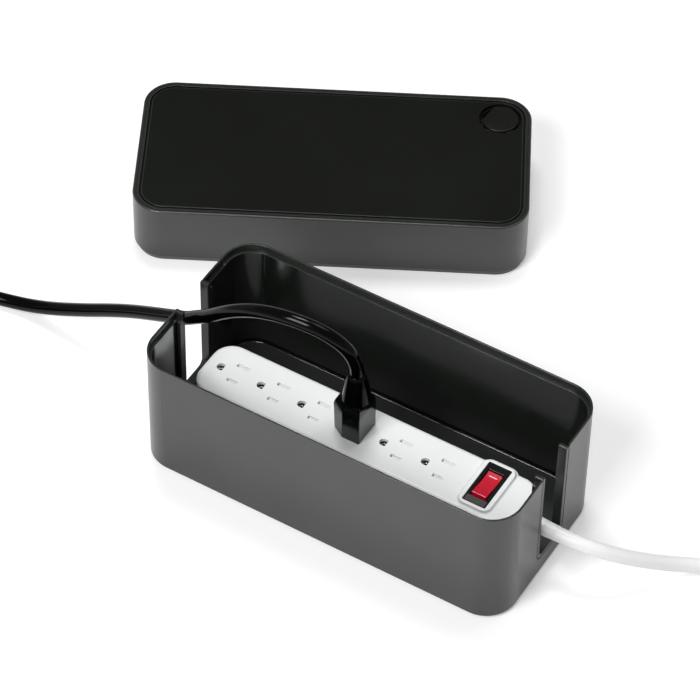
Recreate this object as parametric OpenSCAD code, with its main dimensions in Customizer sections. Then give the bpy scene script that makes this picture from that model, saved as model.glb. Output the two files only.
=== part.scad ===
// Cable box: a deep base with a slot in each end, a drop-on lid with a turning port cover,
// and the six-outlet power strip that the box holds, with its cord and one plugged-in lead.
// Millimetres. X runs along the box, +Y towards its back, Z up; the origin is on the floor,
// under the middle of the base.

/* [Box] */
// Outside length of the box
box_l = 246; // [230:1:280]
// Outside width of the box
box_w = 117; // [105:1:140]
// Radius of the four upright corners
corner_r = 20; // [17:1:24]
// Height of the base from the floor to its rim
base_h = 87.5; // [80:0.5:100]
// Thickness of the side walls
wall_t = 3; // [2.6:0.1:3.6]
// Thickness of the base's floor
floor_t = 3; // [2.5:0.1:4]
// Thickness of the thin upper rim of the base wall
rim_t = 1.4; // [1.2:0.1:1.6]
// Height of the thin rim above the ledge inside it
rim_h = 4.8; // [4.6:0.1:6]

/* [Cable slots] */
// Clear width of the slot in each end
slot_w = 24.5; // [20:0.5:30]
// Height of the slot's sill above the floor
slot_sill_z = 17; // [14:0.5:24]
// Radius of the slot's two lower corners
slot_r = 4; // [2:0.5:6]
// Width of the liner's face round the slot
liner_face = 3.25; // [2.5:0.25:4]
// Thickness of the liner's flange behind the wall
liner_flange_t = 2.4; // [1.8:0.1:3]
// How far the flange laps behind the wall
liner_lap = 2.2; // [1.5:0.1:3]

/* [Feet and pad] */
// How far the feet stand out below the base
foot_h = 1; // [0.8:0.1:2]
// Radius of a foot
foot_r = 6; // [4:0.5:8]
// Depth of the pocket that holds a foot
foot_pocket = 1.4; // [1:0.1:1.6]
// Thickness of the floor pad
pad_t = 1.5; // [1:0.1:2.5]
// Gap between the floor pad and the walls
pad_gap = 2.6; // [1:0.1:5]

/* [Lid] */
// Height of the lid's outer wall
lid_h = 39.5; // [34:0.5:50]
// Thickness of the lid's top, under the mat and its border together
lid_top_t = 3; // [2.6:0.1:4]
// Depth of the lip that drops inside the base's rim
lip_h = 4; // [3:0.1:4.4]
// Gap between the lip and the base's rim
lip_gap = 0.4; // [0.3:0.1:0.6]
// Width of the raised border round the mat
mat_border = 4; // [3.2:0.1:6]
// Gap between the border and the mat
mat_gap = 1; // [0.6:0.1:1.4]
// Thickness of the mat
mat_t = 1.4; // [1:0.1:1.6]
// Where the lid lies: centre along X
lid_x = -134.5; // [-150:0.5:-120]
// Where the lid lies: floor left clear between it and the back of the base
lid_clear = 23.2; // [10:0.1:40]
// How far the lid is turned on the floor
lid_yaw = 28.1; // [20:0.1:32]

/* [Port cover] */
// Radius of the turning cover
cover_r = 12.5; // [10:0.5:13]
// Distance from the cover's centre to its flat side
cover_flat = 9.85; // [8:0.05:9.95]
// Direction that the flat side faces on the lid
cover_flat_angle = 150; // [0:5:355]
// Thickness of the cover
cover_t = 2.2; // [1.8:0.1:2.6]
// Gap round the cover
port_gap = 1.5; // [1:0.1:2]
// Wall thickness of the port ring
port_ring_t = 1; // [0.8:0.1:1.4]
// Radius of the cover's stem
stem_r = 2.4; // [2:0.1:3]
// Length of the bearing that the stem turns in
stem_l = 5.6; // [4:0.1:8]

/* [Power strip] */
// Length of the strip
strip_l = 218; // [212:1:222]
// Width of the strip
strip_w = 41; // [38:0.5:44]
// Height of the strip
strip_h = 38.5; // [36:0.5:42]
// Radius of the strip's upright corners
strip_r = 13; // [9:0.5:16]
// Wall of the strip's two shells
strip_wall = 2.2; // [1.8:0.1:2.8]
// Height of the strip's lower shell
strip_case_h = 15; // [12:0.5:18]
// Middle of the strip along X
strip_x = 1; // [-3:0.5:3]
// Middle of the strip along Y
strip_y = -4.8; // [-7:0.1:-2]
// Number of outlets
outlets = 6; // [4:1:6]
// Distance between outlets
outlet_pitch = 28; // [26:0.5:29]
// From the strip's left end to the first earth hole
first_outlet = 10; // [9:0.5:14]
// Width of the long slit
slit_long = 8.6; // [8.4:0.1:9]
// Width of the short slit
slit_short = 7; // [6.9:0.1:7.4]
// Thickness of both slits
slit_t = 2.3; // [2.1:0.1:2.6]
// Radius of the earth hole
earth_r = 2.8; // [2.7:0.1:3.2]

/* [Rocker switch] */
// Middle of the switch from the strip's middle, along X
switch_x = 81; // [78:0.5:84]
// Middle of the switch from the strip's middle, along Y
switch_y = 1.8; // [0:0.1:2]
// Raised pad under the switch, along X
switch_pad_l = 17.6; // [16:0.1:20]
// Raised pad under the switch, along Y
switch_pad_w = 36.8; // [35:0.1:38]
// Height of the raised pad
switch_pad_h = 2; // [1.5:0.1:3]
// Radius of the pad's corners
switch_pad_r = 3.5; // [1:0.5:6]
// Bezel of the switch, along X
bezel_l = 13.2; // [12.8:0.1:14]
// Bezel of the switch, along Y
bezel_w = 32.4; // [30:0.1:33]
// Thickness of the bezel
bezel_t = 1; // [0.8:0.1:1.4]
// Width of the rocker
rocker_l = 9.4; // [8.5:0.1:9.6]
// Length of the rocker
rocker_w = 20.6; // [18:0.1:22]
// Tilt of the rocker either way
rocker_tilt = 8; // [5:1:9]

/* [Lead plug] */
// Which outlet the plug is in, counted from the left
plug_outlet = 4; // [2:1:4]
// Height of the plug's body above the strip
plug_h = 28; // [26:1:32]
// Width of the plug across its two blades
plug_w = 22; // [20:0.5:24]
// Length of the blades
blade_l = 16; // [14:0.5:17]
// Thickness of the blades
blade_t = 1.5; // [1.3:0.1:1.6]
// Width of the wide blade
blade_wide = 7.9; // [7.6:0.1:8]
// Width of the narrow blade
blade_narrow = 6.35; // [6:0.05:6.5]
// Radius of the earth pin
earth_pin_r = 2.4; // [2.2:0.1:2.45]

/* [Leads] */
// Diameter of the power strip's own cord
cord_d = 9; // [8:0.5:10]
// Diameter of the plugged-in lead
lead_d = 8.5; // [7.5:0.5:9]
// Thickness of the ties round the coils
tie_t = 1; // [0.8:0.1:1.5]
// Width of the ties
tie_w = 16; // [10:1:20]

/* [Hidden] */
$fn = 64;
over = 1;
// loose fits that slide and snug fits that seat
fit = 0.15;
slide_fit = 0.3;
run_fit = 0.08;

// heights in the base
base_floor_z = foot_h + floor_t;
pad_top_z = base_floor_z + pad_t;
ledge_z = base_h - rim_h;
foot_inset = corner_r + foot_r;
groove_from = slot_w / 2 + liner_face;
groove_to = box_w / 2 - corner_r;
groove_t = 0.6;
groove_margin = 4;
groove_x = box_l / 2 - (wall_t + rim_t) / 2;
groove_l = groove_to - groove_from - groove_margin;
groove_depth = 1.2;

// the lid and its port
lip_inset = rim_t + lip_gap;
lid_y = box_w / 2 + lid_clear + corner_r
        + (box_l / 2 - corner_r) * sin(lid_yaw) + (box_w / 2 - corner_r) * cos(lid_yaw);
lip_notch = slot_w + 2 * (liner_face + liner_lap) + 2;
mat_inset = mat_border + mat_gap;
port_hole_r = cover_r + port_gap;
port_x = box_l / 2 - corner_r;
port_y = box_w / 2 - corner_r;
ring_bore_r = port_hole_r - fit - port_ring_t;
ring_flange_t = 1.5;
ring_flange_lap = 2.4;
ring_drop = 0.8;
ring_top_z = lid_h - mat_t - ring_drop;
cover_z = lid_h - cover_t;
hub_top_z = cover_z - fit;
hub_bottom_z = hub_top_z - stem_l;
hub_r = stem_r + 2.2;
spoke_w = 5;
screw_head_h = 1.6;

// the power strip
strip_z = pad_top_z;
strip_top_z = strip_z + strip_h;
seam_z = strip_z + strip_case_h;
strip_left = strip_x - strip_l / 2;
strip_right = strip_x + strip_l / 2;
blade_spacing = 12.7;
blade_to_earth = 11.9;
outlet_x0 = strip_left + first_outlet;
bus_z = seam_z + 1;
bus_t = 1.2;
leaf_t = 0.6;
leaf_h = 13;
bus_bar_w = 4.2;
strip_boss_r = 3.4;
strip_screw_r = 1.4;
strip_screw_x = [strip_left + strip_r + 1, strip_right - strip_r + 5];
strip_screw_head_r = 2.8;
strip_boss_y = strip_w / 2 - strip_wall - strip_boss_r - 1;

// the switch
rocker_x = strip_x + switch_x;
rocker_y = strip_y + switch_y;
pad_z = strip_top_z + switch_pad_h;
rocker_axis_z = pad_z - 2.6;
rocker_pin_r = 1.1;
rocker_pin_l = 0.9;
switch_well_l = rocker_l + 0.8;
switch_well_w = rocker_w + 1.8;
switch_body_h = 11;
switch_body_wall = 0.9;
terminal_h = 6;
terminal_t = 0.8;
rocker_end_z = 3.8;
rocker_dip_z = 2.4;
rocker_skirt = 1;
rocker_bottom = 4;
rocker_taper = 4;

// the plugged-in lead
plug_x = outlet_x0 + (plug_outlet - 1) * outlet_pitch + blade_to_earth;
plug_top_z = strip_top_z + plug_h;
plug_back = 5;
plug_flat = 6.5;
plug_nose = 16.4;
plug_nose_w = 10;
plug_flare = 1.5;
plug_crown_w = 14;
lead_relief_r = 6.2;

// points that the strip's cord passes through, from the strain relief to its coil
cord_route = [
    [130, -4.8, 34.5],
    [133, -4.8, 34.5],
    [137, -4.65, 34.35],
    [140.9, -4.15, 33.95],
    [144.8, -3.35, 33.3],
    [149.4, -1.9, 32.1],
    [153.8, 0, 30.6],
    [159.2, 2.9, 28.2],
    [166.8, 8.2, 24.1],
    [176, 15.8, 18.7],
    [186, 24.9, 13.2],
    [196, 33.1, 9.5],
    [207, 40.8, 7.1],
    [218, 47.9, 6],
    [230, 55.5, 5.6],
    [241.6, 62.8, 5.5],
    [252, 68.8, 5.5]];
// points that the lead passes through, from the plug to the left slot
lead_route_inner = [
    [-4.8, -4.8, 92],
    [-4.8, -4.8, 94],
    [-5.15, -4.9, 97.5],
    [-5.95, -5.2, 101],
    [-7.6, -5.7, 105.6],
    [-9.9, -6.6, 110],
    [-13.2, -7.9, 114.4],
    [-17.6, -9.4, 118.3],
    [-23.6, -11, 121.7],
    [-31, -12.6, 124.1],
    [-40, -14, 125.1],
    [-50, -14.8, 124.3],
    [-60, -14.8, 121.6],
    [-70, -14.2, 116.9],
    [-80, -13.2, 110.4],
    [-89, -12.2, 103.2],
    [-97, -11.2, 95.7],
    [-104, -10.2, 89.05],
    [-112, -8.6, 82.3]];
// points that the lead passes through, from the left slot to its coil
lead_route_outer = [
    [-112, -8.6, 82.3],
    [-120, -7, 75.55],
    [-129, -4.9, 69.6],
    [-139, -2.8, 63.3],
    [-150, -0.8, 56.8],
    [-161, 1, 50.3],
    [-173, 2.4, 43.2],
    [-185, 3.3, 36],
    [-198, 3.9, 28.2],
    [-210, 4.3, 21.4],
    [-221, 4.5, 15.6],
    [-232, 4.4, 10.6],
    [-244, 3.6, 6.8],
    [-257, 1.8, 4.8],
    [-272, -1.2, 4.5],
    [-289, -3.9, 5.2],
    [-301, -4.2, 5.25],
    [-311, -4.2, 5.25]];

// coils: heading and radius where the cord comes in, turns in each of the two layers
cord_coil_heading = 30;
cord_coil_r = 55;
cord_coil_turns = 1.125;
cord_tie_angle = 160;
lead_coil_heading = 180;
lead_coil_r = 58;
lead_coil_turns = 2.25;
lead_tie_angle = 0;
coil_gap = 0.6;
coil_rings = 24;
coil_sides = 6;
run_sides = 10;
relief_r = 6.5;
relief_neck_r = 5;
relief_flange_r = 6.8;
relief_flange_t = 2;
relief_end_lap = 0.3;
relief_l = cord_route[0][0] - strip_right;
lead_relief_l = lead_route_inner[0][2] - plug_top_z;

// what lies at the far ends
far_relief_l = 32;
mains_plug_l = 30;
mains_plug_w = 27;
connector_l = 34;
connector_w = 20;
socket_t = 2;
socket_depth = 12;
socket_pitch = 5;
socket_rise = 2.5;
far_relief_step = 2.5;
far_top_drop = 2;
prong_z = 2;
earth_pin_extra = 3;

// ---------- shapes that repeat ----------

// flat outline with round corners
module round_rect(l, w, r) {
    square([l - 2 * r, w], center = true);
    square([l, w - 2 * r], center = true);
    for (x = [-1, 1])
        for (y = [-1, 1])
            translate([x * (l / 2 - r), y * (w / 2 - r)])
                circle(r);
}

module round_plate(l, w, r, h) {
    linear_extrude(h)
        round_rect(l, w, r);
}

// a plate in the box's outline, drawn in from it on every side
module inset_plate(inset, h) {
    round_plate(box_l - 2 * inset, box_w - 2 * inset, corner_r - inset, h);
}

// upright slot outline, open at its top, with round lower corners; drawn as Y and Z
module slot_outline(w, z0, z1, r) {
    translate([-w / 2, z0 + r])
        square([w, z1 - z0 - r]);
    translate([-w / 2 + r, z0])
        square([w - 2 * r, r + over]);
    for (y = [-1, 1])
        translate([y * (w / 2 - r), z0 + r])
            circle(r);
}

// a slot outline given depth along X, from x0 to x1
module slot_block(w, z0, z1, r, x0, x1) {
    translate([x0, 0, 0])
        rotate([90, 0, 90])
            linear_extrude(x1 - x0)
                slot_outline(w, z0, z1, r);
}

// a box from one corner to the other
module block(from, to) {
    translate(from)
        cube(to - from);
}

function unit(v) = v / norm(v);
function last(p) = p[len(p) - 1];
function tangent(p, i) = unit(p[min(i + 1, len(p) - 1)] - p[max(i - 1, 0)]);
function hoop(c, t, side_axis, r, sides) =
    let (a = unit(cross(t, side_axis)), b = cross(a, t))
    [for (k = [0 : sides - 1]) c + r * (cos(360 * k / sides) * a + sin(360 * k / sides) * b)];

// a round tube swept along points
module tube(p, r, sides, side_axis) {
    n = len(p);
    rings = [for (i = [0 : n - 1]) each hoop(p[i], tangent(p, i), side_axis, r, sides)];
    first_cap = [for (k = [1 : sides - 2]) [0, k, k + 1]];
    last_cap = [for (k = [1 : sides - 2]) (n - 1) * sides * [1, 1, 1] + [0, k + 1, k]];
    walls = [for (i = [0 : n - 2]) for (k = [0 : sides - 1])
        let (a = i * sides + k, b = i * sides + (k + 1) % sides)
        each [[a, a + sides, b], [b, a + sides, b + sides]]];
    polyhedron(points = rings, faces = concat(first_cap, walls, last_cap));
}

// a coil in two layers: in along the floor, up where the spiral turns back, and out again on top
function smooth_step(t) = let (s = min(1, max(0, t))) s * s * (3 - 2 * s);
function coil_radius(t, turns, r_out, step) = r_out - step * (t < turns ? t : 2 * turns - t);
function coil_point(t, c, angle, turns, r_out, step, z0) =
    let (r = coil_radius(t, turns, r_out, step), a = angle + 360 * t)
    [c[0] + r * cos(a), c[1] + r * sin(a), z0 + step * smooth_step(2 * (t - turns) + 0.5)];
function heading(a) = [cos(a), sin(a), 0];
function coil_centre(start, a, d, r_out) = start + d * heading(a) + r_out * heading(a + 90);
function coil_points(start, a, turns, r_out, d) =
    let (step = d + coil_gap,
         c = coil_centre(start, a, d, r_out),
         n = round(2 * turns * coil_rings),
         loops = [for (i = [0 : n]) coil_point(i / coil_rings, c, a - 90, turns, r_out, step, start[2])])
    concat([start], loops, [last(loops) + d * heading(a + 720 * turns)]);
function least_gap(p, d) =
    min([for (i = [0 : len(p) - 1]) for (j = [i + coil_rings / 2 : 1 : len(p) - 1]) norm(p[i] - p[j]) - d]);

// a band round one side of a coil
module coil_tie(c, angle, turns, r_out, d) {
    r_in = r_out - turns * (d + coil_gap) - d / 2 - slide_fit;
    r_far = r_out + d / 2 + slide_fit;
    top = tie_t + 2 * d + coil_gap + slide_fit;
    translate([c[0], c[1], 0])
        rotate(angle)
            difference() {
                block([r_in - tie_t, -tie_w / 2, 0], [r_far + tie_t, tie_w / 2, top + tie_t]);
                block([r_in, -tie_w, tie_t], [r_far, tie_w, top]);
            }
}

// ---------- base ----------

module wall_slot(side) {
    face_w = slot_w + 2 * liner_face + 2 * fit;
    x_mid = side * (box_l / 2);
    slot_block(face_w, slot_sill_z - liner_face, base_h + over, slot_r + liner_face,
               x_mid - corner_r / 2, x_mid + corner_r / 2);
}

module base_shell() {
    color([0.2, 0.21, 0.2])
    difference() {
        translate([0, 0, foot_h])
            inset_plate(0, base_h - foot_h);
        translate([0, 0, base_floor_z])
            inset_plate(wall_t, base_h);
        translate([0, 0, ledge_z])
            inset_plate(rim_t, base_h);
        for (side = [-1, 1]) {
            wall_slot(side);
            // short grooves in the ledge beside the slot
            for (y = [-1, 1])
                translate([side * groove_x, y * (groove_from + groove_to) / 2, ledge_z])
                    cube([groove_t, groove_l, 2 * groove_depth], center = true);
        }
        foot_places()
            translate([0, 0, foot_h - over])
                cylinder(r = foot_r + fit, h = foot_pocket + over);
    }
}

module slot_liner(side) {
    x_out = box_l / 2;
    outer_w = slot_w + 2 * liner_face;
    flange_x = x_out - wall_t - fit;
    mirror([side < 0 ? 1 : 0, 0, 0])
        difference() {
            union() {
                slot_block(outer_w, slot_sill_z - liner_face, base_h, slot_r + liner_face,
                           flange_x - liner_flange_t, x_out);
                slot_block(outer_w + 2 * liner_lap, slot_sill_z - liner_face - liner_lap, ledge_z - fit,
                           slot_r + liner_face + liner_lap, flange_x - liner_flange_t, flange_x);
            }
            slot_block(slot_w, slot_sill_z, base_h + over, slot_r,
                       flange_x - liner_flange_t - over, x_out + over);
        }
}

module left_slot_liner() {
    color([0.16, 0.17, 0.16])
        slot_liner(-1);
}

module right_slot_liner() {
    color([0.16, 0.17, 0.16])
        slot_liner(1);
}

module floor_pad() {
    color([0.1, 0.1, 0.1])
        translate([0, 0, base_floor_z])
            inset_plate(wall_t + pad_gap, pad_t);
}

// a foot near each corner and one in the middle
module foot_places() {
    children();
    for (x = [-1, 1])
        for (y = [-1, 1])
            translate([x * (box_l / 2 - foot_inset), y * (box_w / 2 - foot_inset), 0])
                children();
}

module rubber_feet() {
    color([0.08, 0.08, 0.08])
        foot_places()
            cylinder(r = foot_r, h = foot_h + foot_pocket);
}

// ---------- lid ----------

// puts a lid piece, drawn with its outer wall standing on z = 0, where the lid lies
module at_lid() {
    translate([lid_x, lid_y, lip_h])
        rotate(lid_yaw)
            children();
}

module at_port() {
    at_lid()
        translate([port_x, port_y, 0])
            children();
}

module lid_shell() {
    color([0.16, 0.17, 0.16])
    at_lid()
        difference() {
            union() {
                inset_plate(0, lid_h);
                translate([0, 0, -lip_h])
                    inset_plate(lip_inset, lip_h + over);
            }
            translate([0, 0, -lip_h - over])
                inset_plate(wall_t, lip_h + lid_h - lid_top_t + over);
            block([-box_l, -lip_notch / 2, -lip_h - over], [box_l, lip_notch / 2, 0]);
            translate([0, 0, lid_h - mat_t])
                inset_plate(mat_border, mat_t + over);
            translate([port_x, port_y, 0])
                cylinder(r = port_hole_r, h = lid_h + over);
        }
}

module lid_mat() {
    color([0.1, 0.11, 0.09])
    at_lid()
        translate([0, 0, lid_h - mat_t])
            difference() {
                inset_plate(mat_inset, mat_t);
                translate([port_x, port_y, -over])
                    cylinder(r = port_hole_r, h = mat_t + 2 * over);
            }
}

module port_ring() {
    under = lid_h - lid_top_t;
    color([0.06, 0.06, 0.06])
    at_port() {
        difference() {
            union() {
                translate([0, 0, under - ring_flange_t])
                    cylinder(r = port_hole_r + ring_flange_lap, h = ring_flange_t);
                translate([0, 0, hub_bottom_z])
                    cylinder(r = port_hole_r - fit, h = ring_top_z - hub_bottom_z);
            }
            translate([0, 0, hub_bottom_z - over])
                cylinder(r = ring_bore_r, h = ring_top_z - hub_bottom_z + 2 * over);
        }
        difference() {
            union() {
                translate([0, 0, hub_bottom_z])
                    cylinder(r = hub_r, h = stem_l);
                block([-ring_bore_r - fit, -spoke_w / 2, hub_bottom_z],
                      [ring_bore_r + fit, spoke_w / 2, hub_bottom_z + stem_l / 2]);
            }
            translate([0, 0, hub_bottom_z - over])
                cylinder(r = stem_r + run_fit, h = stem_l + 2 * over);
        }
    }
}

module port_cover() {
    color([0.1, 0.11, 0.09])
    at_port() {
        difference() {
            translate([0, 0, cover_z])
                cylinder(r = cover_r, h = cover_t);
            rotate(cover_flat_angle)
                block([cover_flat, -cover_r, 0], [2 * cover_r, cover_r, lid_h + over]);
        }
        translate([0, 0, hub_bottom_z - fit])
            cylinder(r = stem_r, h = stem_l + 3 * fit);
    }
}

module port_cover_screw() {
    color([0.55, 0.55, 0.55])
    at_port()
        translate([0, 0, hub_bottom_z - fit - screw_head_h])
            cylinder(r = hub_r - fit, h = screw_head_h);
}

// ---------- power strip ----------

module at_outlets() {
    for (k = [0 : outlets - 1])
        translate([outlet_x0 + k * outlet_pitch, strip_y, 0])
            children();
}

module at_strip_screws() {
    for (x = strip_screw_x)
        for (y = [-1, 1])
            translate([x, strip_y + y * strip_boss_y, 0])
                children();
}

module strip_plate(z, h, inset) {
    translate([strip_x, strip_y, z])
        round_plate(strip_l - 2 * inset, strip_w - 2 * inset, strip_r - inset, h);
}

module strip_lower_shell() {
    rib_x = outlet_x0 + blade_to_earth + (outlet_pitch - blade_to_earth) / 2;
    rib_w = blade_spacing + bus_bar_w;
    color([0.88, 0.89, 0.9])
    difference() {
        union() {
            difference() {
                strip_plate(strip_z, strip_case_h, 0);
                strip_plate(strip_z + strip_wall, strip_case_h, strip_wall);
            }
            at_strip_screws()
                translate([0, 0, strip_z])
                    cylinder(r = strip_boss_r, h = strip_case_h);
            // ribs that the three bus bars lie on
            for (k = [0 : outlets - 2])
                block([rib_x + k * outlet_pitch - 1, strip_y - rib_w / 2, strip_z + over],
                      [rib_x + k * outlet_pitch + 1, strip_y + rib_w / 2, bus_z]);
        }
        at_strip_screws() {
            translate([0, 0, strip_z - over])
                cylinder(r = strip_screw_r + fit, h = strip_case_h + 2 * over);
            translate([0, 0, strip_z - over])
                cylinder(r = strip_screw_head_r + fit, h = screw_head_h + 2 * over);
        }
    }
}

module earth_hole(r, h) {
    cylinder(r = r, h = h);
    translate([0, -r, 0])
        cube([r * 0.7, 2 * r, h]);
}

module strip_upper_shell() {
    roof_z = strip_top_z - strip_wall;
    cut_h = strip_wall + switch_pad_h + 2 * over;
    body_l = switch_well_l + 2 * switch_body_wall + 2 * fit;
    body_w = switch_well_w + 2 * switch_body_wall + 2 * fit;
    color([0.88, 0.89, 0.9])
    difference() {
        union() {
            difference() {
                strip_plate(seam_z, strip_top_z - seam_z, 0);
                strip_plate(seam_z - over, roof_z - seam_z + over, strip_wall);
            }
            translate([rocker_x, rocker_y, roof_z])
                round_plate(switch_pad_l, switch_pad_w, switch_pad_r, pad_z - roof_z);
            at_strip_screws()
                translate([0, 0, seam_z])
                    cylinder(r = strip_boss_r, h = roof_z - seam_z + over);
        }
        at_outlets() {
            translate([0, 0, roof_z - over])
                earth_hole(earth_r, cut_h);
            translate([blade_to_earth, blade_spacing / 2, roof_z])
                cube([slit_long, slit_t, 2 * cut_h], center = true);
            translate([blade_to_earth, -blade_spacing / 2, roof_z])
                cube([slit_short, slit_t, 2 * cut_h], center = true);
        }
        translate([rocker_x, rocker_y, roof_z])
            cube([body_l, body_w, 2 * cut_h], center = true);
        translate([rocker_x, rocker_y, pad_z])
            cube([bezel_l + 2 * fit, bezel_w + 2 * fit, 2 * bezel_t], center = true);
        at_strip_screws()
            translate([0, 0, seam_z - over])
                cylinder(r = strip_screw_r - 2 * fit, h = roof_z - seam_z);
        translate([strip_right - 2 * strip_wall, strip_y, cord_route[0][2]])
            rotate([0, 90, 0])
                cylinder(r = relief_neck_r + fit, h = 3 * strip_wall);
    }
}

module strip_screws() {
    color([0.6, 0.6, 0.6])
    at_strip_screws() {
        translate([0, 0, strip_z + over])
            cylinder(r = strip_screw_head_r, h = screw_head_h);
        translate([0, 0, strip_z + over])
            cylinder(r = strip_screw_r - fit, h = strip_case_h + 2 * screw_head_h);
    }
}

// a bus bar with a pair of spring leaves at every outlet
module bus(x, y, bar_w, leaf_l, grip) {
    end_margin = leaf_l / 2 + 1;
    span = (outlets - 1) * outlet_pitch;
    translate([outlet_x0 + x, strip_y + y, bus_z]) {
        block([-end_margin, -bar_w / 2, 0], [span + end_margin, bar_w / 2, bus_t]);
        for (k = [0 : outlets - 1])
            translate([k * outlet_pitch, 0, 0])
                for (side = [-1, 1])
                    translate([-leaf_l / 2, side * (grip + leaf_t) / 2 - leaf_t / 2, 0])
                        cube([leaf_l, leaf_t, leaf_h]);
    }
}

module neutral_bus() {
    color([0.75, 0.6, 0.3])
        bus(blade_to_earth, blade_spacing / 2, bus_bar_w, slit_long, slit_t);
}

module live_bus() {
    color([0.75, 0.6, 0.3])
        bus(blade_to_earth, -blade_spacing / 2, bus_bar_w, slit_short, slit_t);
}

module earth_bus() {
    color([0.75, 0.6, 0.3])
        bus(0, 0, 2 * (earth_pin_r + slide_fit + leaf_t), earth_r * 2, 2 * (earth_pin_r + slide_fit));
}

module switch_bezel() {
    body_l = switch_well_l + 2 * switch_body_wall;
    body_w = switch_well_w + 2 * switch_body_wall;
    body_z = pad_z - bezel_t - switch_body_h;
    color([0.06, 0.06, 0.06])
    difference() {
        union() {
            translate([rocker_x, rocker_y, pad_z - bezel_t / 2])
                cube([bezel_l, bezel_w, bezel_t], center = true);
            translate([rocker_x, rocker_y, body_z + switch_body_h / 2])
                cube([body_l, body_w, switch_body_h], center = true);
        }
        translate([rocker_x - switch_well_l / 2, rocker_y - switch_well_w / 2, body_z + switch_body_wall])
            cube([switch_well_l, switch_well_w, switch_body_h + bezel_t]);
        translate([rocker_x - body_l, rocker_y, rocker_axis_z])
            rotate([0, 90, 0])
                cylinder(r = rocker_pin_r + run_fit, h = 2 * body_l);
    }
}

module switch_terminals() {
    body_z = pad_z - bezel_t - switch_body_h;
    color([0.75, 0.6, 0.3])
        for (y = [-1, 0, 1])
            translate([rocker_x, rocker_y + y * rocker_w / 3, body_z - terminal_h / 2])
                cube([rocker_l / 2, terminal_t, terminal_h], center = true);
}

module switch_rocker() {
    end = rocker_w / 2;
    foot = end - rocker_taper;
    profile = [[-end, rocker_end_z], [0, rocker_dip_z], [end, rocker_end_z], [end, -rocker_skirt],
               [foot, -rocker_bottom], [-foot, -rocker_bottom], [-end, -rocker_skirt]];
    color([0.8, 0.05, 0.12])
    translate([rocker_x, rocker_y, rocker_axis_z])
        rotate([-rocker_tilt, 0, 0]) {
            translate([-rocker_l / 2, 0, 0])
                rotate([90, 0, 90])
                    linear_extrude(rocker_l)
                        polygon(profile);
            rotate([0, 90, 0])
                cylinder(r = rocker_pin_r, h = switch_well_l + 2 * rocker_pin_l - fit, center = true);
        }
}

module strip_strain_relief() {
    color([0.93, 0.93, 0.93])
    translate([strip_right, strip_y, cord_route[0][2]])
        rotate([0, 90, 0]) {
            cylinder(r1 = relief_r, r2 = cord_d / 2 + relief_end_lap, h = relief_l);
            translate([0, 0, -strip_wall - fit])
                cylinder(r = relief_neck_r, h = strip_wall + 2 * fit);
            translate([0, 0, -strip_wall - fit - relief_flange_t])
                cylinder(r = relief_flange_r, h = relief_flange_t);
        }
}

// ---------- the strip's cord ----------

cord_coil = coil_points(last(cord_route), cord_coil_heading, cord_coil_turns, cord_coil_r, cord_d);
lead_coil_path = coil_points(last(lead_route_outer), lead_coil_heading, lead_coil_turns, lead_coil_r, lead_d);
echo(cord_coil_least_gap = least_gap(cord_coil, cord_d));
echo(lead_coil_least_gap = least_gap(lead_coil_path, lead_d));

module strip_cord_run() {
    color([0.93, 0.93, 0.93])
        tube(cord_route, cord_d / 2, run_sides, [0, 0, 1]);
}

module strip_cord_coil() {
    color([0.93, 0.93, 0.93])
        tube(cord_coil, cord_d / 2, coil_sides, [0, 0, 1]);
}

// draws a far-end piece along +X from the end of a coil, at the height of its upper layer
module at_coil_end(path, angle) {
    translate(last(path))
        rotate(angle)
            children();
}

module far_relief(d) {
    rotate([0, 90, 0])
        cylinder(r1 = d / 2 + relief_end_lap, r2 = d / 2 + far_relief_step, h = far_relief_l);
}

cord_end_angle = cord_coil_heading + 720 * cord_coil_turns;
lead_end_angle = lead_coil_heading + 720 * lead_coil_turns;
cord_end_z = last(cord_coil)[2];
lead_end_z = last(lead_coil_path)[2];

module strip_cord_plug() {
    color([0.93, 0.93, 0.93])
    at_coil_end(cord_coil, cord_end_angle) {
        far_relief(cord_d);
        block([far_relief_l, -mains_plug_w / 2, -cord_end_z],
              [far_relief_l + mains_plug_l, mains_plug_w / 2, cord_end_z - far_top_drop]);
    }
}

module strip_cord_prongs() {
    face = far_relief_l + mains_plug_l;
    color([0.7, 0.6, 0.4])
    at_coil_end(cord_coil, cord_end_angle) {
        for (side = [-1, 1])
            block([face, (side * blade_spacing - blade_t) / 2, prong_z],
                  [face + blade_l, (side * blade_spacing + blade_t) / 2, prong_z + blade_narrow]);
        translate([face, 0, prong_z + blade_narrow / 2 - blade_to_earth])
            rotate([0, 90, 0])
                cylinder(r = earth_pin_r, h = blade_l + earth_pin_extra);
    }
}

module strip_cord_tie() {
    color([0.9, 0.9, 0.9])
        coil_tie(coil_centre(last(cord_route), cord_coil_heading, cord_d, cord_coil_r),
                 cord_tie_angle, cord_coil_turns, cord_coil_r, cord_d);
}

// ---------- the plugged-in lead ----------

module plug_outline(flat, nose, back, w, nose_w) {
    polygon([[back, -w / 2], [back, w / 2], [-flat, w / 2], [-nose, nose_w / 2],
             [-nose, -nose_w / 2], [-flat, -w / 2]]);
}

module lead_plug_body() {
    color([0.05, 0.05, 0.05])
    translate([plug_x, strip_y, strip_top_z])
        hull() {
            linear_extrude(1)
                plug_outline(plug_flat, plug_nose, plug_back, plug_w, plug_nose_w);
            translate([0, 0, plug_h - 1])
                linear_extrude(1)
                    plug_outline(plug_flat + plug_flare, plug_nose - plug_flare, plug_back + plug_flare,
                                 plug_crown_w, plug_nose_w - plug_flare);
        }
}

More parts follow.
